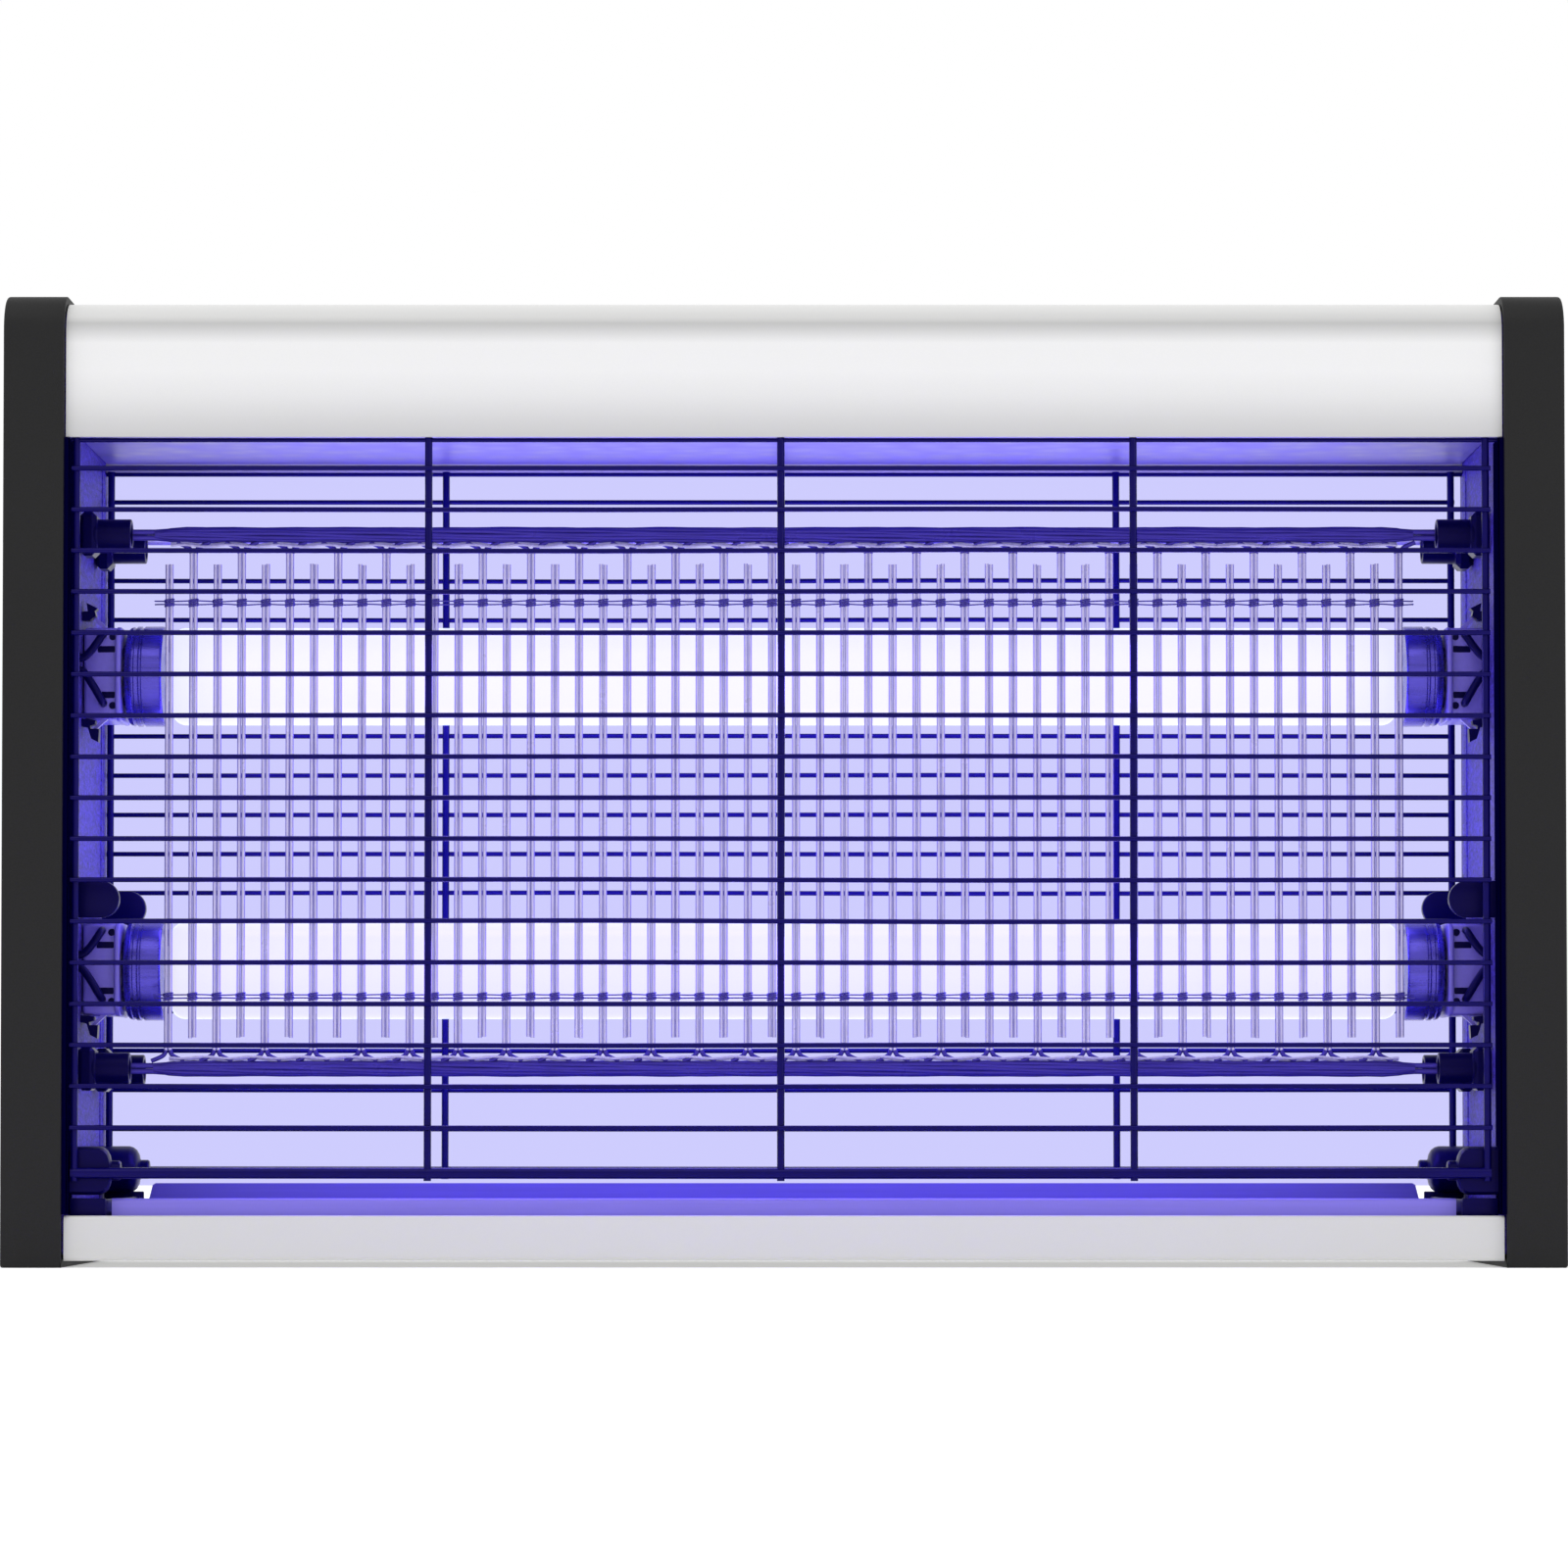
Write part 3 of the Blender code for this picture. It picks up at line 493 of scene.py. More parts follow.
def make_finishes(colours):
    """Every finish by its slot's name in the record."""
    finishes = [
        moulded("charcoal_plastic", colours.cap, 0.55, 2300.0, 0.00015, 0.6, 0.2),
        # Painted shade: half the black plastic's colour with no gloss, for the shadow the cap
        # casts on the side plate.
        moulded("cap_lining", scaled(colours.black, 0.5), 0.85, 2300.0, 0.0001, 0.3, 0.0),
        # Painted light: the tray's metal made 1.75 times lighter for its lit front wall.
        brushed("tray_lip_lit_copy", scaled(colours.violet_metal, 1.75), 0.3, 0.4, (0.02, 1, 1)),
        coated_sheet("white_housing", colours.housing, 0.1, 0.32, 0.75),
        coated_sheet("grey_panel", colours.panel, 0.1, 0.34, 0.0),
        speckled_plastic("side_plastic", colours.side),
        spangled("zinc_sheet", colours.violet_metal),
        brushed("tray_metal", colours.violet_metal, 0.45, 0.30, (0.02, 1, 1)),
        glossy_coating("black_wire", colours.guard),
        # Painted shade: the last colour of each wire is its painted dark rim.
        drawn_wire("grid_wire", colours.grid, colours.bundle, (1, 1, 0.03)),
        drawn_wire("grid_bundle", colours.bundle, scaled(colours.bundle, 0.4), (0.03, 1, 1)),
        moulded("black_plastic", colours.black, 0.34, 1500.0, 0.00006, 0.3, 0.2, PAINTED_VIOLET_GLINT),
        moulded("switch_plastic", (0.011, 0.011, 0.012), 0.34, 1500.0, 0.00006, 0.3, 0.3),
        # Painted light: the thread's violet is the lamps' light painted into its colour.
        spun_thread("thread", (0.045, 0.03, 0.30)),
        glowing_glass("lamp_glass", colours.glow),
        brushed("lamp_base", colours.lamp_base, 0.8, 0.2, (0.04, 1, 1), 0.5),
        moulded("holder_plastic", colours.holder, 0.36, 1200.0, 0.00005, 0.12, 0.45),
        moulded("rotor_plastic", scaled(colours.holder, 0.85), 0.36, 1200.0, 0.00005, 0.12),
        laminated("ballast_steel", (0.35, 0.35, 0.37)),
        moulded("resin", (0.045, 0.045, 0.05), 0.45, 500.0, 0.0001),
        moulded("terminal_nylon", (0.75, 0.73, 0.66), 0.45, 900.0, 0.00006, 0.08),
        brushed("ring_steel", (0.62, 0.62, 0.64), 0.95, 0.18, (1, 1, 1)),
    ]
    return {finish.material.name: finish.material for finish in finishes}


# --- Modelling tools ------------------------------------------------------------------------


def arc(centre, radius, start, end, steps):
    """Points along an arc, with angles in degrees."""
    angles = [math.radians(start + (end - start) * i / steps) for i in range(steps + 1)]
    return [(centre[0] + radius * math.cos(a), centre[1] + radius * math.sin(a)) for a in angles]


def tombstone(half, low, high, top_radius, low_radius=0.8, steps=14):
    """An upright outline with rounded top corners and nearly square lower ones."""
    return (
        arc((half - low_radius, low + low_radius), low_radius, -90, 0, 3)
        + arc((half - top_radius, high - top_radius), top_radius, 0, 90, steps)
        + arc((top_radius - half, high - top_radius), top_radius, 90, 180, steps)
        + arc((low_radius - half, low + low_radius), low_radius, 180, 270, 3)
    )


def add_face(bm, outline, axis, place):
    """A flat face from (u, v) points: (y, z) across X, (x, z) across Y or (x, y) across Z."""
    order = {"X": lambda u, v: (place, u, v), "Y": lambda u, v: (u, place, v)}
    order["Z"] = lambda u, v: (u, v, place)
    return bm.faces.new([bm.verts.new(order[axis](u, v)) for u, v in outline])


def push(bm, face, offset):
    """Extrudes a face by a vector and returns the face at the far end."""
    made = bmesh.ops.extrude_face_region(bm, geom=[face])["geom"]
    verts = [item for item in made if isinstance(item, bmesh.types.BMVert)]
    bmesh.ops.translate(bm, vec=offset, verts=verts)
    return next(item for item in made if isinstance(item, bmesh.types.BMFace))


def add_slab(bm, outline, axis, low, high):
    """An outline pushed along an axis into a closed solid."""
    step = Vector([float(letter == axis) for letter in "XYZ"]) * (high - low)
    known = set(bm.faces)
    push(bm, add_face(bm, outline, axis, low), step)
    made = [face for face in bm.faces if face not in known]
    bmesh.ops.recalc_face_normals(bm, faces=made)
    return made


def round_edges(bm, edges, width, segments=3):
    bmesh.ops.bevel(
        bm, geom=list(edges), offset=width, offset_type="OFFSET", segments=segments,
        profile=0.5, affect="EDGES", clamp_overlap=True, material=-1,
    )


def add_block(bm, low, high, edge=0.0, segments=2):
    """A box between two corners, with its edges rounded."""
    low, high = Vector(low), Vector(high)
    made = bmesh.ops.create_cube(bm, size=1.0)["verts"]
    bmesh.ops.scale(bm, vec=high - low, verts=made)
    bmesh.ops.translate(bm, vec=(low + high) / 2, verts=made)
    if edge:
        round_edges(bm, {e for v in made for e in v.link_edges}, edge, segments)


def add_side_block(bm, side, along, across, up, edge=0.0, segments=2):
    """A box on one side: its distances from the middle along X, then its Y and Z limits."""
    near, far = sorted(side * x for x in along)
    add_block(bm, (near, across[0], up[0]), (far, across[1], up[1]), edge, segments)


def add_turned(bm, profile, centre, axis="X", steps=40, closed=False):
    """A profile of (along, radius) points, from axis to axis or closed, turned about an axis."""
    verts = [bm.verts.new((along, 0.0, radius)) for along, radius in profile]
    following = verts[1:] + (verts[:1] if closed else [])
    edges = [bm.edges.new(pair) for pair in zip(verts, following)]
    known = set(bm.verts) - set(verts)
    bmesh.ops.spin(
        bm, geom=verts + edges, cent=(0, 0, 0), axis=(1, 0, 0), angle=math.tau,
        steps=steps, use_merge=True,
    )
    fresh = [v for v in bm.verts if v not in known]
    bmesh.ops.remove_doubles(bm, verts=fresh, dist=1e-4)
    fresh = [v for v in bm.verts if v not in known]
    turn = {
        "X": Matrix(), "Y": Matrix.Rotation(math.pi / 2, 4, "Z"),
        "Z": Matrix.Rotation(-math.pi / 2, 4, "Y"),
    }[axis]
    bmesh.ops.transform(bm, matrix=Matrix.Translation(centre) @ turn, verts=fresh)
    faces = {face for v in fresh for face in v.link_faces}
    bmesh.ops.recalc_face_normals(bm, faces=list(faces))


def mirrored(profile, side):
    return [(side * along, across) for along, across in profile]


def end_rims(faces, corners=4):
    """The edges of a slab's faces that have more than the given corners."""
    return {edge for face in faces if len(face.verts) > corners for edge in face.edges}


def lies_at(item, x):
    return all(abs(v.co.x - x) < 1e-3 for v in item.verts)


def linked(name, data):
    made = bpy.data.objects.new(name, data)
    bpy.context.scene.collection.objects.link(made)
    return made


def object_from(name, bm, unit=MM):
    """An object from a bmesh in the given unit. The bmesh is used up."""
    bmesh.ops.scale(bm, vec=(unit,) * 3, verts=bm.verts)
    mesh = bpy.data.meshes.new(name)
    bm.to_mesh(mesh)
    bm.free()
    return linked(name, mesh)


def give_finish(mesh, finish_name):
    mesh.materials.clear()
    mesh.materials.append(bpy.data.materials[finish_name])


def shade_round(mesh, limit):
    """Smooth shading, with edges sharper than the limit in degrees left sharp."""
    mesh.shade_smooth()
    mesh.set_sharp_from_angle(angle=math.radians(limit))


def mesh_piece(name, bm, finish_name, body, replaced=(), smooth=35.0):
    """Turns a bmesh in millimetres into a finished piece that rides on a body."""
    piece = object_from(name, bm)
    shade_round(piece.data, smooth)
    give_finish(piece.data, finish_name)
    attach(piece, body)
    if replaced:
        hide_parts(*replaced)
    return piece


def evaluated_mesh(obj):
    graph = bpy.context.evaluated_depsgraph_get()
    return bpy.data.meshes.new_from_object(obj.evaluated_get(graph))


def wire_mesh(name, paths, diameter, detail=2, closed=False):
    """Round wires along paths of points in millimetres, as one mesh."""
    curve = bpy.data.curves.new(name, "CURVE")
    curve.dimensions = "3D"
    for path in paths:
        spline = curve.splines.new("POLY")
        spline.points.add(len(path) - 1)
        for point, place in zip(spline.points, path):
            point.co = (*(Vector(place) * MM), 1.0)
        spline.use_cyclic_u = closed
    curve.bevel_depth = diameter * MM / 2
    curve.bevel_resolution = detail
    curve.use_fill_caps = not closed
    helper = linked(name, curve)
    mesh = evaluated_mesh(helper)
    bpy.data.objects.remove(helper, do_unlink=True)
    bpy.data.curves.remove(curve)
    return mesh


def wire_piece(name, groups, finish_name, body, replaced=()):
    """A piece of several groups of wires, each (paths, diameter, detail, closed)."""
    bm = bmesh.new()
    for paths, diameter, detail, closed in groups:
        mesh = wire_mesh(name, paths, diameter, detail, closed)
        bm.from_mesh(mesh)
        bpy.data.meshes.remove(mesh)
    bmesh.ops.remove_doubles(bm, verts=bm.verts, dist=1e-7)
    bmesh.ops.scale(bm, vec=(1 / MM,) * 3, verts=bm.verts)
    return mesh_piece(name, bm, finish_name, body, replaced, 50.0)


def cut_from(piece, cutter):
    """Cuts a closed bmesh in millimetres out of a piece."""
    helper = object_from("cutter", cutter)
    modifier = piece.modifiers.new("cut", "BOOLEAN")
    modifier.operation = "DIFFERENCE"
    modifier.solver = "EXACT"
    modifier.object = helper
    made = evaluated_mesh(piece)
    piece.modifiers.clear()
    old, piece.data = piece.data, made
    bpy.data.meshes.remove(old)
    bpy.data.objects.remove(helper, do_unlink=True)
    shade_round(made, 35.0)
    return piece


def smooth_route(points, per_span=6):
    """A Catmull-Rom curve through the points."""
    points = [Vector(p) for p in points]
    padded = [2 * points[0] - points[1]] + points + [2 * points[-1] - points[-2]]
    route = []
    for before, start, end, after in zip(padded, padded[1:], padded[2:], padded[3:]):
        for step in range(per_span):
            t = step / per_span
            route.append(0.5 * (
                2 * start + (end - before) * t
                + (2 * before - 5 * start + 4 * end - after) * t ** 2
                + (3 * start - before - 3 * end + after) * t ** 3
            ))
    return route + [points[-1]]


def wobble(n, size, phase=0.0):
    """A small repeatable irregularity."""
    return size * (math.sin(n * 12.9898 + phase * 4.1) + math.sin(n * 5.233 + phase)) / 2


# --- Casing ---------------------------------------------------------------------------------

CAP_INNER = 180.3
SHEET_END = 180.0
HOUSING_SHEET = 1.0
SCREW_HEAD = 2.9
SWITCH_WINDOW = (9.2, 6.2)
GLAND_BORE = 5.4


def cap_screw_places(side):
    """Where a cap's four screws stand on its outer face."""
    low, high = node_box("left_end_cap")
    return [(-side * low.x, y, z) for y in (-24.0, 24.0) for z in (22.0, high.z - 24.0)]


def end_cap(side, word, sizes):
    """A deep cap with a rounded outer rim, hollow towards the inside."""
    name = f"{word}_end_cap"
    _, high = node_box(name)
    outer, inner = side * node_reach(name)[1], side * CAP_INNER
    bm = bmesh.new()
    face = add_face(bm, tombstone(high.y, 0.0, high.z, 9.5), "X", inner)
    push(bm, face, Vector((outer - inner, 0, 0)))
    bmesh.ops.recalc_face_normals(bm, faces=bm.faces)
    round_edges(bm, [edge for edge in bm.edges if lies_at(edge, outer)], sizes.cap_round, 6)
    mouth = [face for face in bm.faces if lies_at(face, inner)]
    bmesh.ops.inset_region(bm, faces=mouth, thickness=sizes.cap_wall, use_even_offset=True)
    mouth = max(
        (face for face in bm.faces if lies_at(face, inner)), key=lambda face: face.calc_area()
    )
    push(bm, mouth, Vector((outer - inner - side * sizes.cap_wall, 0, 0)))
    if mouth.is_valid:
        bm.faces.remove(mouth)
    lip = [edge for edge in bm.edges if lies_at(edge, inner) and edge.calc_face_angle(0) > 1.0]
    round_edges(bm, lip, 0.35, 2)
    bmesh.ops.recalc_face_normals(bm, faces=bm.faces)
    return mesh_piece(name + "_shell", bm, "charcoal_plastic", "frame", [name])


def cap_tongues(side, word):
    """The cap's two flat round-nosed tongues, beside the lower lampholder."""
    bm = bmesh.new()
    radius, root, nose, z, half = 4.65, 192.0, 171.85, 92.45, 1.6
    outline = [(root, z - radius), (root, z + radius)] + arc((nose, z), radius, 90, 270, 20)
    for y in (-29.0, 29.0):
        faces = add_slab(bm, mirrored(outline, side), "Y", y - half, y + half)
        round_edges(bm, end_rims(faces), 0.5, 3)
    return mesh_piece(f"{word}_cap_tongues", bm, "black_plastic", "frame")


def cap_screws(side, word):
    """Four pan-head screws on washers."""
    bm = bmesh.new()
    r = SCREW_HEAD
    head = [
        (-0.3, 0), (-0.3, r), (0.25, r), (0.6, r * 0.9), (0.9, r * 0.66), (1.05, r * 0.33),
        (1.1, 0),
    ]
    ring = [(-0.1, 3.0), (0.12, 3.1), (0.22, 3.4), (0.22, 4.0), (0.1, 4.3), (-0.1, 4.4)]
    for place in cap_screw_places(side):
        add_turned(bm, mirrored(head, side), place, "X", 24)
        add_turned(bm, mirrored(ring, side), place, "X", 32, closed=True)
    return mesh_piece(f"{word}_cap_screws", bm, "ring_steel", "frame")


def cut_cross(piece, side):
    """Cuts a cross recess into a cap's screw heads."""
    bm = bmesh.new()
    arm, half = SCREW_HEAD * 0.55, 0.36
    plus = [(half, half), (half, arm), (-half, arm), (-half, half), (-arm, half), (-arm, -half)]
    plus += [(-u, -v) for u, v in plus]
    for x, y, z in cap_screw_places(side):
        near, far = sorted((x + side * 0.5, x + side * 2.0))
        add_slab(bm, [(y + u, z + v) for u, v in plus], "X", near, far)
    return cut_from(piece, bm)


PLATE_FACE = (178.98, 179.3)
PLATE_HEIGHT = (13.3, 207.6)


def plate_return_painted_shade(side, word):
    """The cap's dark return along the front edge of its side plate, with painted shade: a
    glossless black strip 11 mm over the plate where the cap shades it.
    """
    bm = bmesh.new()
    # Painted shade: this strip over the plate's front stands for the cap's shadow on it.
    add_side_block(bm, side, PLATE_FACE, (-39.4, -28.4), PLATE_HEIGHT, 0.1, 1)
    add_side_block(bm, side, (PLATE_FACE[0], 180.9), (-39.4, -37.1), PLATE_HEIGHT, 0.1, 1)
    return mesh_piece(f"{word}_plate_return_painted_shade", bm, "cap_lining", "frame")


def plate_margin(side, word):
    """The textured margin that carries the side plate on to the rear guard."""
    bm = bmesh.new()
    add_side_block(bm, side, PLATE_FACE, (28.4, 39.4), PLATE_HEIGHT, 0.1, 1)
    return mesh_piece(f"{word}_plate_margin", bm, "side_plastic", "frame")


def housing_outline(half, low, high, radius):
    """A channel's section: its outer line, then its inner line back again."""
    section = []
    for sheet in (0.0, HOUSING_SHEET):
        line = [(half - sheet, low)]
        line += arc((half - radius, high - radius), radius - sheet, 0, 90, 16)
        line += arc((radius - half, high - radius), radius - sheet, 90, 180, 16)
        section.append(line + [(sheet - half, low)])
    return section[0] + section[1][::-1]


def top_housing(sizes):
    low, high = node_box("top_housing")
    bm = bmesh.new()
    outline = housing_outline(high.y, low.z, high.z, sizes.housing_radius)
    faces = add_slab(bm, outline, "X", -SHEET_END, SHEET_END)
    lips = {
        edge for face in faces for edge in face.edges
        if all(v.co.z < low.z + 0.01 for v in edge.verts) and edge.calc_length() > SHEET_END
    }
    round_edges(bm, lips, 0.3, 2)
    piece = mesh_piece("housing_channel", bm, "white_housing", "frame", ["top_housing"], 30.0)
    switch, gland = node_middle("switch_frame"), node_middle("cord_gland")
    (wide, tall), back = SWITCH_WINDOW, 45
    bore = [(-6, 0), (-6, GLAND_BORE), (6, GLAND_BORE), (6, 0)]
    cutter = bmesh.new()
    left, right = switch.x - wide, switch.x + wide
    add_block(cutter, (left, 34, switch.z - tall), (right, back, switch.z + tall))
    add_turned(cutter, bore, (gland.x, 38.5, gland.z), "Y")
    return cut_from(piece, cutter)


def housing_rivets():
    """Low domed rivets that hold the chassis plate and the ring brackets."""
    low, high = node_box("top_housing")
    bm = bmesh.new()
    dome = [(-0.3, 0), (-0.3, 2.0), (0.0, 2.0), (0.45, 1.5), (0.7, 0.8), (0.75, 0)]
    for side, _ in SIDES:
        for x in (40.0, 160.0):
            add_turned(bm, dome, (side * x, high.y, low.z + 5.0), "Y", 20)
    return mesh_piece("rear_rivets", bm, "white_housing", "frame")


def base_panel():
    """The floor of the tray's bay, rolled up at the rear."""
    low, high = node_box("base_plate")
    bm = bmesh.new()
    floor = low.z + 1.2
    bend = arc((high.y - 2.0, low.z + 2.0), 2.0, -90, 0, 6)
    inner = arc((high.y - 2.0, low.z + 2.2), 1.0, 0, -90, 6)
    outline = [(low.y, low.z)] + bend + [(high.y, high.z), (high.y - 1.0, high.z)] + inner
    outline += [(low.y, floor)]
    faces = add_slab(bm, outline, "X", -SHEET_END, SHEET_END)
    top = {e for f in faces for e in f.edges if all(v.co.z > high.z - 0.01 for v in e.verts)}
    round_edges(bm, top, 0.3, 2)
    return mesh_piece("bottom_panel", bm, "grey_panel", "frame", ["base_plate"], 30.0)


# --- Tray -----------------------------------------------------------------------------------


TRAY_SHEET = 0.8


def tray_fascia():
    """The tray's front strip, rolled over slightly at its top and bottom."""
    low, high = node_box("tray_fascia")
    y, r, back, edge = low.y, 0.9, low.y + 0.95, 1.3
    bm = bmesh.new()
    outline = arc((y + r, low.z + r), r, 180, 270, 6) + [(high.y, low.z), (high.y, low.z + r)]
    outline += [(back, low.z + edge), (back, high.z - edge), (high.y, high.z - r)]
    outline += [(high.y, high.z)] + arc((y + r, high.z - r), r, 90, 180, 6)
    add_slab(bm, outline, "X", 0.2 - SHEET_END, SHEET_END - 0.2)
    return mesh_piece("tray_front", bm, "grey_panel", "tray", ["tray_fascia"], 30.0)


def tray_pan():
    """One folded sheet: floor, hemmed front wall and raised rear wall, with two end walls."""
    low, high = node_box("tray_pan")
    t, front, rear, roll = TRAY_SHEET, -30.0, high.y, 16.4
    bm = bmesh.new()
    floor = [(low.y, low.z), (rear - 0.2, low.z), (rear - 0.2, low.z + t), (low.y, low.z + t)]
    add_slab(bm, floor, "X", low.x, high.x)
    wall = [(front, low.z + 0.1), (front + t, low.z + 0.1), (front + t, 15.6)]
    wall += arc((front + 1.15, roll), t, -115, 90, 8)[1:] + arc((front + t, roll), t, 90, 180, 5)
    lip = bmesh.new()
    add_slab(lip, wall, "X", low.x, high.x)
    # Painted light: the front wall takes the lighter, lit copy of the tray's metal.
    mesh_piece("tray_front_wall", lip, "tray_lip_lit_copy", "tray", smooth=30.0)
    for side, _ in SIDES:
        depth, height = (front + 0.1, rear - 0.1), (low.z + 0.1, 14.0)
        add_side_block(bm, side, (high.x - t, high.x), depth, height, 0.25, 1)
    raised = [
        (low.x, low.z + 0.1), (high.x, low.z + 0.1), (high.x, 13.4), (167.0, 14.0),
        (165.4, high.z - 0.5), (164.6, high.z), (-164.6, high.z), (-165.4, high.z - 0.5),
        (-167.0, 14.0), (low.x, 13.4),
    ]
    add_slab(bm, raised, "Y", rear - t, rear)
    return mesh_piece("tray_sheet", bm, "tray_metal", "tray", ["tray_pan"], 30.0)


def rail_fence(side, word):
    """The raised edge of a tray rail, which closes the corner beside the tray."""
    bm = bmesh.new()
    wide = (169.8, 178.8)
    add_side_block(bm, side, wide, (-34.5, -32.9), (12.0, 17.3), 0.3, 2)
    for y in (-20.0, 0.0, 20.0):
        add_side_block(bm, side, wide, (y - 0.8, y + 0.8), (12.0, 15.5), 0.3, 2)
    add_side_block(bm, side, (169.8, 171.2), (-34.2, 36.0), (12.0, 17.0), 0.3, 2)
    add_side_block(bm, side, (168.3, 178.8), (34.8, 36.3), (13.2, 18.4), 0.3, 2)
    return mesh_piece(f"{word}_rail_fence", bm, "black_plastic", "frame")


# --- Guards ---------------------------------------------------------------------------------


GUARD_MIDDLE = -0.8
GUARD_SPACING = 88.4
GUARD_TOP_ROW = 200.3
GUARD_HINGE = 207.5


def guard(front, name, sizes):
    """Upright wires with level wires welded across their outer side."""
    low, high = node_box(name)
    y, middle, spacing = front * 36.0, GUARD_MIDDLE, GUARD_SPACING
    reach = 2 * spacing
    posts = []
    for n in range(-2, 3):
        x = middle + n * spacing
        posts.append([
            (x, y, low.z + 0.3), (x + wobble(n, 0.15), y, 90.0),
            (x + wobble(n, 0.15, 2), y, 150.0), (x, y, high.z),
        ])
    outer = y + front * (sizes.guard_post / 2 + sizes.guard_row / 2 - 0.4)
    rows = []
    for i in range(sizes.guard_rows):
        z = GUARD_TOP_ROW - sizes.guard_pitch * i + wobble(i, 0.14, front)
        rows.append([
            (middle - reach - 1.05 + wobble(i, 0.1), outer, z),
            (middle - spacing * 0.5, outer, z + wobble(i, 0.22, 1)),
            (middle + spacing * 0.5, outer, z + wobble(i, 0.22, 3)),
            (middle + reach + 1.05 + wobble(i, 0.1, 2), outer, z),
        ])
    hinge = [[(low.x, y, GUARD_HINGE), (high.x, y, GUARD_HINGE)]]
    rod = [[(middle - reach - 0.8, y, 23.6), (0, y, 23.5), (middle + reach + 0.8, y, 23.6)]]
    groups = [
        (posts, sizes.guard_post, 4, False), (rows, sizes.guard_row, 3, False),
        (hinge, 1.1, 2, False), (rod, sizes.guard_rod, 4, False),
    ]
    return wire_piece(name + "_wires", groups, "black_wire", name, [name])


def guard_peg(side, front, word):
    """A stepped peg with a flat face towards the guard."""
    name = f"{word}_guard_clip"
    profile = [
        (178.9, 0), (178.9, 6.1), (171.6, 6.1), (170.6, 5.8), (169.7, 5.1), (169.1, 4.0),
        (168.9, 2.9), (168.6, 2.5), (166.8, 2.5), (166.4, 2.2), (166.3, 1.6), (166.3, 0),
    ]
    bm = bmesh.new()
    add_turned(bm, mirrored(profile, side), (0, front * 31.5, 24.2))
    cut = bmesh.ops.bisect_plane(
        bm, geom=bm.verts[:] + bm.edges[:] + bm.faces[:], plane_co=(0, front * 34.5, 0),
        plane_no=(0, front, 0), clear_outer=True,
    )["geom_cut"]
    bmesh.ops.holes_fill(bm, edges=[e for e in cut if isinstance(e, bmesh.types.BMEdge)])
    bmesh.ops.recalc_face_normals(bm, faces=bm.faces)
    return mesh_piece(f"{word}_guard_peg", bm, "black_plastic", "frame", [name])


# --- High-voltage grid ----------------------------------------------------------------------


GRID_Y = -16.0
BUNDLE_Z = {"upper": 185.8, "lower": 50.0}
BUNDLE_END = 160.0


def bundle_paths(z, strands=12, helix=1.45, pitch=520.0):
    """Strands that lie nearly side by side and come together at both ends."""
    paths = []
    for strand in range(strands):
        path = []
        for step in range(81):
            x = 4.0 * step - BUNDLE_END
            taper = min(1.0, (BUNDLE_END + 0.6 - abs(x)) / 6.0)
            radius = helix * (0.25 + 0.75 * taper) * (1 + wobble(step * 0.13, 0.07, strand))
            angle = math.tau * (strand / strands + x / pitch) + wobble(step * 0.05, 0.2, strand)
            path.append((x, GRID_Y + radius * math.cos(angle), z + radius * math.sin(angle)))
        paths.append(path)
    return paths


def pair_paths(x, bundle_z, free_z, radius):
    """The two wires of a pair, side by side, and the short flares that join the bundle."""
    up = 1 if bundle_z > free_z else -1
    straight, flares = [], []
    for hand in (-1, 1):
        at = x + hand * (radius + 0.03)
        straight.append([
            (at, GRID_Y, free_z + wobble(x, 0.2, hand)),
            (at + wobble(x, 0.05, hand), GRID_Y, (free_z + bundle_z) / 2),
            (at, GRID_Y, bundle_z - up * 4.4),
        ])
        flare = [(at, GRID_Y, bundle_z - up * 4.7)]
        for out, forward, drop in (
            (0.75, 0.0, 3.9), (1.35, 0.1, 3.2), (2.5, 0.3, 2.6), (4.2, 0.4, 1.9),
        ):
            flare.append((x + hand * out, GRID_Y - forward, bundle_z - up * drop))
        flares.append(smooth_route(flare, 3))
    return straight, flares


def grid_comb(level, sizes, first):
    """Every second pair of the grid, with the bundle that holds it."""
    name = f"{level}_grid_comb"
    low, high = node_box(name)
    bundle_z = BUNDLE_Z[level]
    free_z, up = (low.z, 1) if level == "upper" else (high.z, -1)
    start = -sizes.grid_pitch * (sizes.grid_pairs - 1) / 2
    pairs, flares, ends = [], [], []
    for n in range(first, sizes.grid_pairs, 2):
        straight, flare = pair_paths(
            start + sizes.grid_pitch * n, bundle_z, free_z, sizes.grid_wire / 2
        )
        pairs += straight
        flares += flare
    for side, _ in SIDES:
        for lift in (-0.72, 0.72):
            ends.append([
                (side * high.x, GRID_Y, bundle_z + lift),
                (side * BUNDLE_END, GRID_Y, bundle_z + lift),
                (side * (BUNDLE_END - 6.0), GRID_Y, bundle_z + lift * 1.6),
            ])
    edge = []
    for layer in (0, 1):
        drop = 2.3 + 0.5 * layer
        edge.append([
            (2.0 * step, GRID_Y - 0.4 - 0.5 * layer + wobble(step, 0.15, layer),
             bundle_z - up * (drop + 0.25 * math.cos(math.tau * step / 6.13)))
            for step in range(-78, 79)
        ])
    bundle = [
        (bundle_paths(bundle_z), 1.2, 2, False), (ends, 1.45, 3, False),
        (flares, sizes.grid_wire + 0.15, 2, False),
    ]
    wire_piece(name + "_bundle", bundle, "grid_bundle", "frame", ())
    groups = [(pairs, sizes.grid_wire, 3, False), (edge, 0.7, 1, False)]
    return wire_piece(name + "_wires", groups, "grid_wire", "frame", [name])


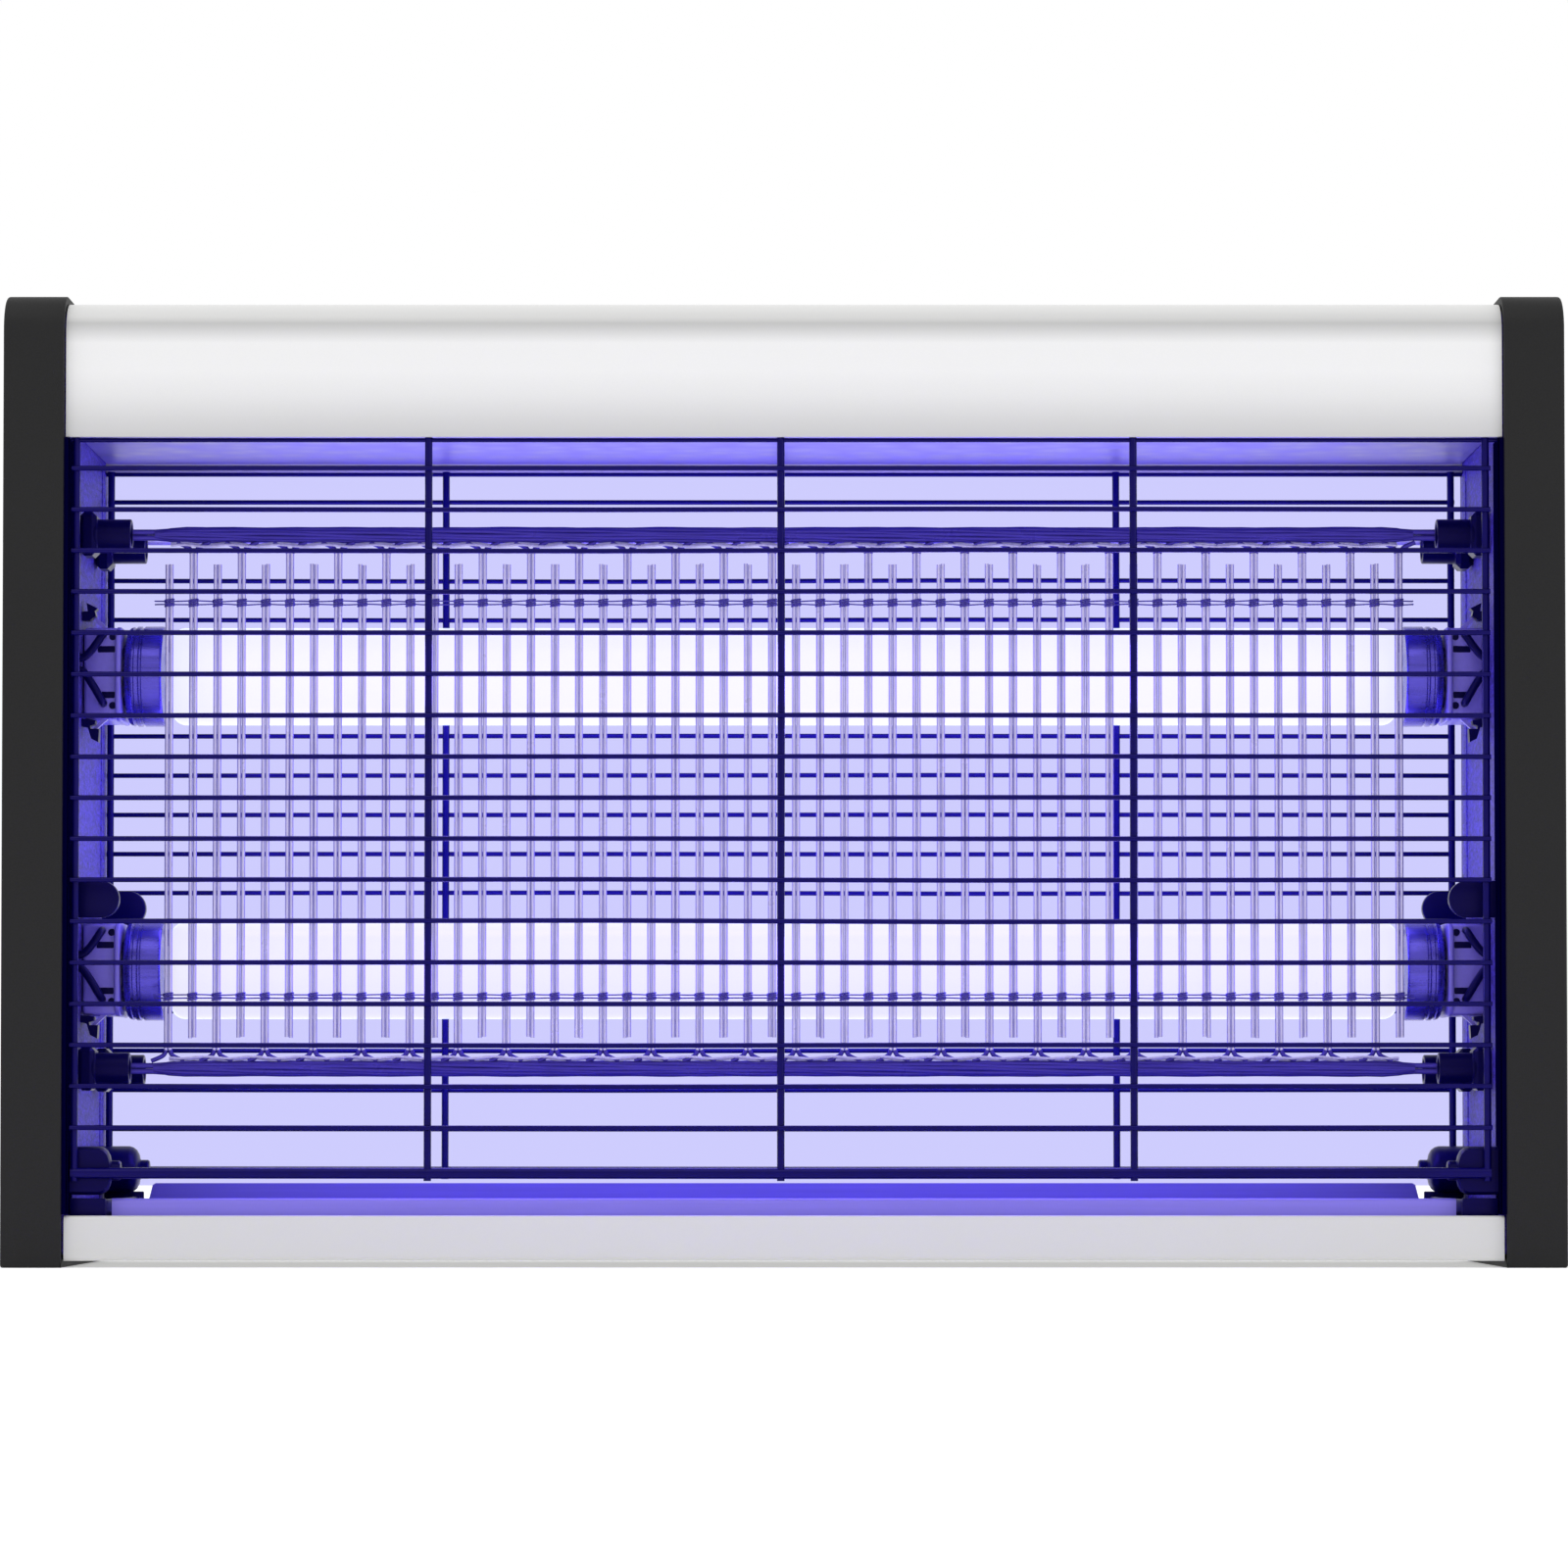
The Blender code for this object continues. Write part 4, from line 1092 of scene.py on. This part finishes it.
def spacer_thread(level, sizes):
    """Two threads that weave past each other round the pairs, with a turn about each pair."""
    name = f"{level}_spacer_thread"
    z = node_middle(name).z
    start = -sizes.grid_pitch * (sizes.grid_pairs - 1) / 2
    weave, knots = [], []
    for hand in (-1, 1):
        path = []
        for step in range(4 * (sizes.grid_pairs - 1) + 13):
            x = start + sizes.grid_pitch * (step / 4 - 1.5)
            swing = math.cos(math.pi * (x - start) / sizes.grid_pitch)
            path.append((
                max(-BUNDLE_END, min(BUNDLE_END, x)), GRID_Y + hand * 0.8 * swing,
                z + hand * 0.42 + wobble(step, 0.07, hand),
            ))
        weave.append(path)
    angles = [math.tau * k / 12 for k in range(12)]
    for n in range(sizes.grid_pairs):
        x = start + sizes.grid_pitch * n
        for lift in (-0.75, -0.25, 0.25, 0.75):
            knots.append([
                (x + 1.12 * math.cos(a), GRID_Y + 0.7 * math.sin(a), z + lift + 0.15 * math.cos(a))
                for a in angles
            ])
    groups = [(weave, sizes.thread, 1, False), (knots, sizes.thread + 0.12, 1, True)]
    return wire_piece(name + "_strands", groups, "thread", "frame", [name])


def rear_rod(level):
    """A bare rod between two rear insulators."""
    name = f"rear_{level}_rod"
    middle, radius, bevel = node_middle(name), 1.3, 0.2
    half = node_reach(name)[1]
    profile = [(half - bevel, radius), (half, radius - bevel), (half, 0)]
    profile = [(-along, r) for along, r in reversed(profile)] + profile
    bm = bmesh.new()
    add_turned(bm, profile, (0, middle.y, middle.z), "X", 20)
    return mesh_piece(name + "_bar", bm, "grid_wire", "frame", [name])


def insulator(side, front, level, word):
    """A chamfered foot and a collared post with a recessed tip."""
    name = f"{'front' if front < 0 else 'rear'}_{level}_{word}_insulator"
    low, high = node_box(name)
    middle, (tip, root) = node_middle(name), node_reach(name)
    bm = bmesh.new()
    profile = [
        (tip + 1.2, 0), (tip + 1.2, 2.4), (tip + 0.15, 2.9), (tip, 3.2), (tip, 3.8),
        (tip + 0.2, 4.0), (root - 4.6, 4.0), (root - 4.2, 4.3), (root - 1.0, 4.3),
        (root - 1.0, 0),
    ]
    add_turned(bm, mirrored(profile, side), (0, middle.y, middle.z), "X", 36)
    add_side_block(bm, side, (root - 4.4, root), (low.y, high.y), (low.z, high.z), 1.2, 1)
    return mesh_piece(name + "_moulding", bm, "black_plastic", "frame", [name])


# --- Lamps ----------------------------------------------------------------------------------


def lamp_tube(level):
    """A glass tube with rounded shoulders that ends in both metal caps."""
    name = f"{level}_lamp_tube"
    _, high = node_box(name)
    middle = node_middle(name)
    radius, end = high.z - middle.z, high.x - 1.3
    shoulder = arc((end - 3.6, radius - 3.6), 3.6, 90, 0, 8)
    right = shoulder + [(end + 0.25, radius - 6.0), (high.x, radius - 6.4), (high.x, 0)]
    profile = [(-along, r) for along, r in reversed(right)] + right
    bm = bmesh.new()
    add_turned(bm, profile, (0, middle.y, middle.z), "X", 64)
    return mesh_piece(name + "_glass", bm, "lamp_glass", f"{level}_lamp", [name])


def lamp_base(side, level, word):
    """A crimped metal cap with an insulating disc and two pins."""
    name = f"{level}_lamp_base_{word}"
    low, high = node_box(name)
    y, z = node_middle(name).yz
    r, face, (start, pins) = (high.z - low.z) / 2, 168.6, node_reach(name)
    profile = [
        (start, 0), (start, r - 0.5), (start + 0.3, r - 0.1), (start + 0.6, r), (face - 4.6, r),
        (face - 4.3, r - 0.4), (face - 3.9, r - 0.4), (face - 3.6, r), (face - 2.7, r),
        (face - 2.4, r - 0.4), (face - 2.0, r - 0.4), (face - 1.7, r - 0.1),
        (face - 0.9, r - 0.4), (face - 0.3, r - 1.1), (face, r - 2.0), (face, r - 3.4),
        (face - 0.4, r - 3.6), (face - 0.4, 0),
    ]
    bm = bmesh.new()
    add_turned(bm, mirrored(profile, side), (0, y, z), "X", 64)
    for offset in (-6.35, 6.35):
        pin = [(face - 1, 0), (face - 1, 1.2), (pins - 0.5, 1.2), (pins - 0.1, 0.8), (pins, 0)]
        add_turned(bm, mirrored(pin, side), (0, y, z + offset), "X", 16)
    return mesh_piece(name + "_cap", bm, "lamp_base", f"{level}_lamp", [name])


HOLDER_HALF = (10.5, 11.7)
SOCKET_RADIUS = 8.5
SOCKET_FLOOR = 177.2


def lampholder(side, level, word):
    """A boxy holder with windows and terminal holes in its front, and a raised collar."""
    name = f"{level}_lampholder_{word}"
    y, z = node_middle(name).yz
    near, root = node_reach(name)
    deep, tall = HOLDER_HALF
    bm = bmesh.new()
    add_side_block(bm, side, (near + 0.4, root), (-deep, deep), (z - tall, z + tall), 1.0, 3)
    piece = mesh_piece(name + "_body", bm, "holder_plastic", "frame", [name])
    socket = [(near - 3, 0), (near - 3, 8.4), (SOCKET_FLOOR, 8.4), (SOCKET_FLOOR, 0)]
    cutter = bmesh.new()
    add_turned(cutter, mirrored(socket, side), (0, y, z), "X", 48)
    piece = cut_from(piece, cutter)
    cutter = bmesh.new()
    for height in (6.2, -5.5):
        limits = (z + height - 0.85, z + height + 0.85)
        add_side_block(cutter, side, (170.9, 175.4), (-13, -9.6), limits, 0.3, 2)
    hole = [(-12.5, 0), (-12.5, 0.95), (-9.6, 0.95), (-9.6, 0)]
    for height in (9.4, -8.2):
        add_turned(cutter, hole, (side * 171.5, 0, z + height), "Y", 20)
    add_side_block(cutter, side, (near - 1, SOCKET_FLOOR), (4, 20), (z - 1.8, z + 1.8))
    piece = cut_from(piece, cutter)
    holder_collar(side, level, word, near, z)
    inserts = bmesh.new()
    add_side_block(inserts, side, (170.9, 176.6), (-9.85, -9.5), (z - 9.2, z + 11.2))
    mesh_piece(f"{level}_holder_contacts_{word}", inserts, "black_plastic", "frame")
    return piece


def holder_collar(side, level, word, near, z):
    """The rim that faces the lamp, open where the rotor turns."""
    rounded = []
    for across, up, start in ((1, 1, 0), (-1, 1, 90), (-1, -1, 180), (1, -1, 270)):
        rounded += arc((across * 8.1, z + up * 8.0), 4.0, start, start + 90, 8)
    bm = bmesh.new()
    faces = add_slab(bm, rounded, "X", *sorted((side * (near - 0.1), side * (near + 1.2))))
    round_edges(bm, end_rims(faces, 8), 0.4, 3)
    collar = mesh_piece(f"{level}_holder_collar_{word}", bm, "holder_plastic", "frame")
    bore = [(near - 3, 0), (near - 3, SOCKET_RADIUS), (near + 4, SOCKET_RADIUS), (near + 4, 0)]
    cutter = bmesh.new()
    add_turned(cutter, mirrored(bore, side), (0, 0, z), "X", 48)
    return cut_from(collar, cutter)


def holder_brackets(side, word):
    """The snap hooks that hold each holder in its plate, with a thin web beside each."""
    webs, hooks = bmesh.new(), bmesh.new()
    above = [
        (179.1, 13.4), (179.1, 15.7), (177.7, 15.8), (178.0, 17.9), (175.2, 16.5),
        (175.9, 15.8), (175.6, 14.6), (177.2, 13.4),
    ]
    below = [
        (179.1, -11.7), (175.6, -12.1), (175.8, -13.1), (177.0, -13.5), (176.9, -14.3),
        (174.7, -14.3), (174.9, -17.7), (176.7, -16.8), (177.6, -13.9), (179.1, -13.6),
    ]
    for level in LEVELS:
        z = node_middle(f"{level}_lampholder_{word}").z
        for outline, up in ((above, 1), (below, -1)):
            placed = [(x, z + height) for x, height in outline]
            add_slab(hooks, mirrored(placed, side), "Y", -12.0, -8.4)
            edge = z + up * 11.5
            tip = edge + up * 3.4
            web = [(174.2, edge), (172.6, edge), (176.4, tip), (177.2, tip)]
            add_slab(webs, mirrored(web, side), "Y", -9.6, -7.8)
    mesh_piece(f"{word}_holder_webs", webs, "holder_plastic", "frame")
    mesh_piece(f"{word}_holder_hooks", hooks, "black_plastic", "frame")


def rotor(side, level, word):
    """The slotted disc that turns with the lamp's pins."""
    name = f"{level}_rotor_{word}"
    y, z = node_middle(name).yz
    near, far = node_reach(name)
    radius = 8.0
    profile = [(near, 0), (near, radius - 0.5), (near + 0.5, radius), (far, radius), (far, 0)]
    bm = bmesh.new()
    add_turned(bm, mirrored(profile, side), (0, y, z), "X", 48)
    piece = mesh_piece(name + "_disc", bm, "rotor_plastic", f"{level}_lamp", [name])
    cutter = bmesh.new()
    add_side_block(cutter, side, (near - 1, far - 0.6), (y - 1.6, y + 1.6), (z - 9, z + 9))
    return cut_from(piece, cutter)


def lamp_lead(side, level, word, sizes):
    """A black lead from each terminal, both going through the side plate."""
    name = f"{level}_lamp_lead_{word}"
    z = node_middle(f"{level}_lampholder_{word}").z
    hole_y, hole_z = -15.0, z + 2.0
    upper = [
        (173.9, -10.0, z + 9.9), (173.9, -12.4, z + 9.6), (174.7, -14.0, z + 8.0),
        (176.6, -15.0, z + 5.2), (178.4, hole_y, hole_z + 1.7), (181.2, hole_y, hole_z + 1.3),
    ]
    lower = [
        (173.8, -10.0, z - 7.7), (173.8, -12.4, z - 7.4), (174.6, -14.0, z - 5.8),
        (176.3, -15.0, z - 2.8), (178.2, hole_y, z - 0.2), (179.4, hole_y, hole_z - 1.5),
        (181.2, hole_y, hole_z - 1.3),
    ]
    paths = [
        smooth_route([(side * x, y, height) for x, y, height in route], 8)
        for route in (upper, lower)
    ]
    groups = [(paths, sizes.lead, 4, False)]
    return wire_piece(name + "_cables", groups, "black_plastic", "frame", [name])


# --- Switch, gland and hanging rings --------------------------------------------------------


def switch_bezel():
    """A rocker switch's frame, open in the middle."""
    low, high = node_box("switch_frame")
    x, _, z = node_middle("switch_frame")
    bm = bmesh.new()
    add_block(bm, (low.x, high.y - 1.1, low.z), (high.x, high.y, high.z), 0.5, 3)
    add_block(bm, (x - 8.9, low.y, z - 5.9), (x + 8.9, high.y - 0.6, z + 5.9), 0.4, 2)
    piece = mesh_piece(
        "switch_bezel", bm, "switch_plastic", "frame", ["switch_frame"]
    )
    cutter = bmesh.new()
    add_block(cutter, (x - 7.9, 28.0, z - 4.9), (x + 7.9, 45.0, z + 4.9))
    return cut_from(piece, cutter)


def switch_rocker():
    """A rocker with a dished top, tipped to its off side."""
    low, high = node_box("switch_rocker")
    x = node_middle("switch_frame").x
    pivot, tilt = 34.2, math.radians(-10)
    dish = [(u, 3.6 + 1.4 * (abs(u) / 7.0) ** 1.6) for u in (7, 5.6, 4.2, 2.8, 1.4, 0)]
    dish += [(-u, v) for u, v in reversed(dish[:-1])]
    outline = []
    for u, v in [(-5.0, -3.0), (5.0, -3.0)] + dish:
        outline.append((
            x + u * math.cos(tilt) - v * math.sin(tilt),
            pivot + u * math.sin(tilt) + v * math.cos(tilt),
        ))
    bm = bmesh.new()
    faces = add_slab(bm, outline, "Z", low.z, high.z)
    round_edges(bm, end_rims(faces), 0.35, 2)
    return mesh_piece(
        "rocker_key", bm, "switch_plastic", "rocker", ["switch_rocker"]
    )


def gland():
    """The grommet that the cord would leave by."""
    x, _, z = node_middle("cord_gland")
    ring = [
        (33.0, 3.3), (33.0, 5.0), (38.8, 5.0), (38.8, 7.5), (39.5, 7.5), (39.9, 7.1),
        (40.3, 5.6), (40.3, 4.0), (40.0, 3.5), (39.5, 3.3),
    ]
    bm = bmesh.new()
    add_turned(bm, ring, (x, 0, z), "Y", 32, closed=True)
    return mesh_piece(
        "gland_grommet", bm, "switch_plastic", "frame", ["cord_gland"]
    )


def hanging_ring(word):
    """A D-shaped wire ring that lies flat."""
    name = f"{word}_hanging_ring"
    x, _, z = node_middle(name)
    half, reach, corner, bend = 8.0, 17.0, 6.5, 0.8
    path = [(bend - half, 0.0), (half - bend, 0.0)] + arc((half - bend, bend), bend, -90, 0, 3)[1:]
    path += [(half, reach - corner)] + arc((half - corner, reach - corner), corner, 0, 90, 10)[1:]
    path += arc((corner - half, reach - corner), corner, 90, 180, 10)
    path += arc((bend - half, bend), bend, 180, 270, 3)[:-1]
    groups = [([[(x + u, v, z) for u, v in path]], 1.5, 4, True)]
    return wire_piece(name + "_loop", groups, "ring_steel", f"{word}_ring", [name])


def ring_bracket(word):
    """A staple over the ring's straight bar, with a rivet through its foot."""
    name = f"{word}_ring_bracket"
    low, high = node_box(name)
    sheet, inner, crown = 0.6, 1.25, 0.8
    outer = inner + sheet
    profile = [(low.y, low.z), (-inner, low.z), (-inner, 244.45)]
    profile += [(inner, 244.45), (inner, low.z), (outer, low.z)]
    profile += arc((outer - crown, high.z - crown), crown, 0, 90, 5)
    profile += arc((crown - outer, high.z - crown), crown, 90, 180, 5)
    profile += [(-outer, low.z + sheet), (low.y, low.z + sheet)]
    bm = bmesh.new()
    add_slab(bm, profile, "X", low.x, high.x)
    dome = [(0.0, 0), (0.0, 1.1), (0.4, 0.9), (0.6, 0.4), (0.62, 0)]
    add_turned(bm, dome, (node_middle(name).x, -3.2, low.z + sheet), "Z", 20)
    return mesh_piece(name + "_staple", bm, "ring_steel", "frame", [name])


# --- Stage ----------------------------------------------------------------------------------


def area_light(name, place, towards, size, power, shade, seen=True):
    light = bpy.data.lights.new(name, "AREA")
    light.shape = "RECTANGLE"
    light.size, light.size_y = size
    light.energy = power
    light.color = shade
    lamp = linked(name, light)
    lamp.location = place
    lamp.rotation_euler = (Vector(towards) - Vector(place)).to_track_quat("-Z", "Y").to_euler()
    lamp.visible_camera = seen
    return lamp


def floor_finish():
    """A pale floor that glows slightly."""
    finish = Finish("studio_floor")
    cloud = finish.noise(1.5, 3.0, 0.5)
    tone = finish.mix(cloud, (0.90, 0.90, 0.91), (0.93, 0.93, 0.94))
    finish.set(
        Base_Color=tone, Roughness=0.75 + cloud * 0.1, Specular_IOR_Level=0.2,
        Emission_Color=(1.0, 1.0, 1.0, 1.0), Emission_Strength=0.3,
    )
    return finish.material


def build_stage(stage):
    for obj in list(bpy.data.objects):
        if obj.type in ("MESH", "CAMERA", "LIGHT") and obj.get("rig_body") is None:
            bpy.data.objects.remove(obj, do_unlink=True)
    bm = bmesh.new()
    bmesh.ops.create_circle(bm, cap_ends=True, radius=2.6, segments=96)
    floor = object_from("studio_floor", bm, 1.0)
    floor.data.materials.append(floor_finish())
    world = bpy.data.worlds.new("studio")
    bpy.context.scene.world = world
    world.use_nodes = True
    light_backdrop(world.node_tree, stage)
    middle = (0.0, 0.0, 0.12)
    area_light("top_softbox", (-0.4, -0.7, 1.6), middle, (1.6, 0.8), 5.0, (1.0, 0.99, 0.97))
    area_light("side_softbox", (1.5, -1.1, 0.7), middle, (0.9, 1.1), 2.5, (0.97, 0.98, 1.0))
    build_camera(stage)


def light_backdrop(tree, stage):
    """A white surround with the lamps' pale violet glow straight behind the appliance."""
    graph = Graph(tree)
    background = tree.nodes["Background"].inputs
    graph.feed(background["Strength"], stage.world)
    place = graph.node("ShaderNodeTexCoord", output="Generated")
    ahead = graph.axis(place, "Y").at_least(1e-4)
    sideways, rise = abs(graph.axis(place, "X") / ahead), graph.axis(place, "Z") / ahead
    rear = stage.distance - 0.04
    reach, top = 0.1845 / rear, (0.226 - stage.eye) / rear
    beside = graph.fade(sideways, reach, reach - 0.004, "SMOOTHSTEP")
    below = graph.fade(rise, top, top - 0.008, "SMOOTHSTEP")
    seen = graph.node("ShaderNodeLightPath", output="Is Camera Ray")
    graph.feed(background["Color"], graph.mix(beside * below * seen, WHITE, stage.backdrop))


def build_glow(stage):
    """Violet light from each lamp, given off forwards, to the rear, upwards and downwards."""
    violet = (0.20, 0.12, 1.0)
    ways = (("front", -1, 0), ("rear", 1, 0), ("up", 0, 1), ("down", 0, -1))
    for level in LEVELS:
        middle = node_middle(f"{level}_lamp_tube") * MM
        for word, y, z in ways:
            out = Vector((0, y, z))
            place = middle + out * 0.0135
            name = f"{level}_glow_{word}"
            area_light(name, place, place + out, (0.30, 0.016), stage.glow, violet, seen=False)


def build_camera(stage):
    data = bpy.data.cameras.new("camera")
    data.lens = stage.lens
    data.sensor_width = 36.0
    data.shift_y = stage.shift
    data.clip_end = 200.0
    camera = linked("camera", data)
    camera.location = (0.0, -stage.distance, stage.eye)
    camera.rotation_euler = (math.pi / 2 + stage.pitch, 0.0, 0.0)
    bpy.context.scene.camera = camera


# --- Operators ------------------------------------------------------------------------------


class ZapperOperator:
    bl_options = {"REGISTER", "UNDO"}

    def execute(self, context):
        self.build(context.scene.zapper_sizes)
        return {"FINISHED"}


class ZAPPER_OT_stage(Operator):
    """Set up the floor, the lights and the camera"""

    bl_idname = "zapper.stage"
    bl_label = "Stage"

    def execute(self, context):
        build_stage(context.scene.zapper_stage)
        build_glow(context.scene.zapper_stage)
        context.scene.view_settings.view_transform = "Standard"
        return {"FINISHED"}


class ZAPPER_OT_finishes(Operator):
    """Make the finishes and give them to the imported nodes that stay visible"""

    bl_idname = "zapper.finishes"
    bl_label = "Finishes"

    def execute(self, context):
        make_finishes(context.scene.zapper_colours)
        for part in frame["record"]["subparts"]:
            give_finish(frame["nodes"][part["node"]].data, part["material_slot"])
        return {"FINISHED"}


class ZAPPER_OT_end_caps(ZapperOperator, Operator):
    """Build the two end caps with their tongues and screws"""

    bl_idname = "zapper.end_caps"
    bl_label = "End caps"

    def build(self, sizes):
        for side, word in SIDES:
            end_cap(side, word, sizes)
            cap_tongues(side, word)
            plate_return_painted_shade(side, word)
            plate_margin(side, word)
            cut_cross(cap_screws(side, word), side)


class ZAPPER_OT_housing(ZapperOperator, Operator):
    """Build the top housing and the bottom panel"""

    bl_idname = "zapper.housing"
    bl_label = "Housing"

    def build(self, sizes):
        top_housing(sizes)
        housing_rivets()
        base_panel()


class ZAPPER_OT_tray(ZapperOperator, Operator):
    """Build the tray and its front strip"""

    bl_idname = "zapper.tray"
    bl_label = "Tray"

    def build(self, sizes):
        tray_fascia()
        tray_pan()
        for side, word in SIDES:
            rail_fence(side, word)


class ZAPPER_OT_guards(ZapperOperator, Operator):
    """Build the wire guards and the pegs that hold them"""

    bl_idname = "zapper.guards"
    bl_label = "Guards"

    def build(self, sizes):
        for front, face in FACES:
            guard(front, f"{face}_guard", sizes)
            for side, word in SIDES:
                guard_peg(side, front, f"{face}_{word}")


class ZAPPER_OT_grid(ZapperOperator, Operator):
    """Build the high-voltage grid, its threads, rods and insulators"""

    bl_idname = "zapper.grid"
    bl_label = "Grid"

    def build(self, sizes):
        grid_comb("upper", sizes, 1)
        grid_comb("lower", sizes, 0)
        for level in LEVELS:
            spacer_thread(level, sizes)
            rear_rod(level)
            for side, word in SIDES:
                for front, _ in FACES:
                    insulator(side, front, level, word)


class ZAPPER_OT_lamps(ZapperOperator, Operator):
    """Build the lamps, their holders, rotors and leads"""

    bl_idname = "zapper.lamps"
    bl_label = "Lamps"

    def build(self, sizes):
        for level in LEVELS:
            lamp_tube(level)
            for side, word in SIDES:
                lamp_base(side, level, word)
                lampholder(side, level, word)
                rotor(side, level, word)
                lamp_lead(side, level, word, sizes)
        for side, word in SIDES:
            holder_brackets(side, word)


class ZAPPER_OT_fittings(ZapperOperator, Operator):
    """Build the rear switch, the cord gland and the hanging rings"""

    bl_idname = "zapper.fittings"
    bl_label = "Fittings"

    def build(self, sizes):
        switch_bezel()
        switch_rocker()
        gland()
        for _, word in SIDES:
            hanging_ring(word)
            ring_bracket(word)


class ZAPPER_PT_panel(Panel):
    """Lists the zapper's steps in the sidebar"""

    bl_label = "Bug Zapper"
    bl_space_type = "VIEW_3D"
    bl_region_type = "UI"
    bl_category = "Bug Zapper"

    def draw(self, context):
        for step in STEPS:
            self.layout.operator(step.bl_idname)
        for name in GROUPS:
            group = getattr(context.scene, name)
            column = self.layout.column()
            for key in group.__annotations__:
                column.prop(group, key)


STEPS = (
    ZAPPER_OT_stage, ZAPPER_OT_finishes, ZAPPER_OT_end_caps, ZAPPER_OT_housing,
    ZAPPER_OT_tray, ZAPPER_OT_guards, ZAPPER_OT_grid, ZAPPER_OT_lamps, ZAPPER_OT_fittings,
)
GROUPS = {
    "zapper_sizes": ZapperSizes, "zapper_colours": ZapperColours, "zapper_stage": ZapperStage,
}


def register():
    for cls in (*GROUPS.values(), *STEPS, ZAPPER_PT_panel):
        bpy.utils.register_class(cls)
    for name, group in GROUPS.items():
        setattr(bpy.types.Scene, name, PointerProperty(type=group))


def unregister():
    for name in GROUPS:
        delattr(bpy.types.Scene, name)
    for cls in reversed((*GROUPS.values(), *STEPS, ZAPPER_PT_panel)):
        bpy.utils.unregister_class(cls)


def main():
    register()
    for step in STEPS:
        family, action = step.bl_idname.split(".")
        getattr(getattr(bpy.ops, family), action)()


if __name__ == "__main__":
    main()
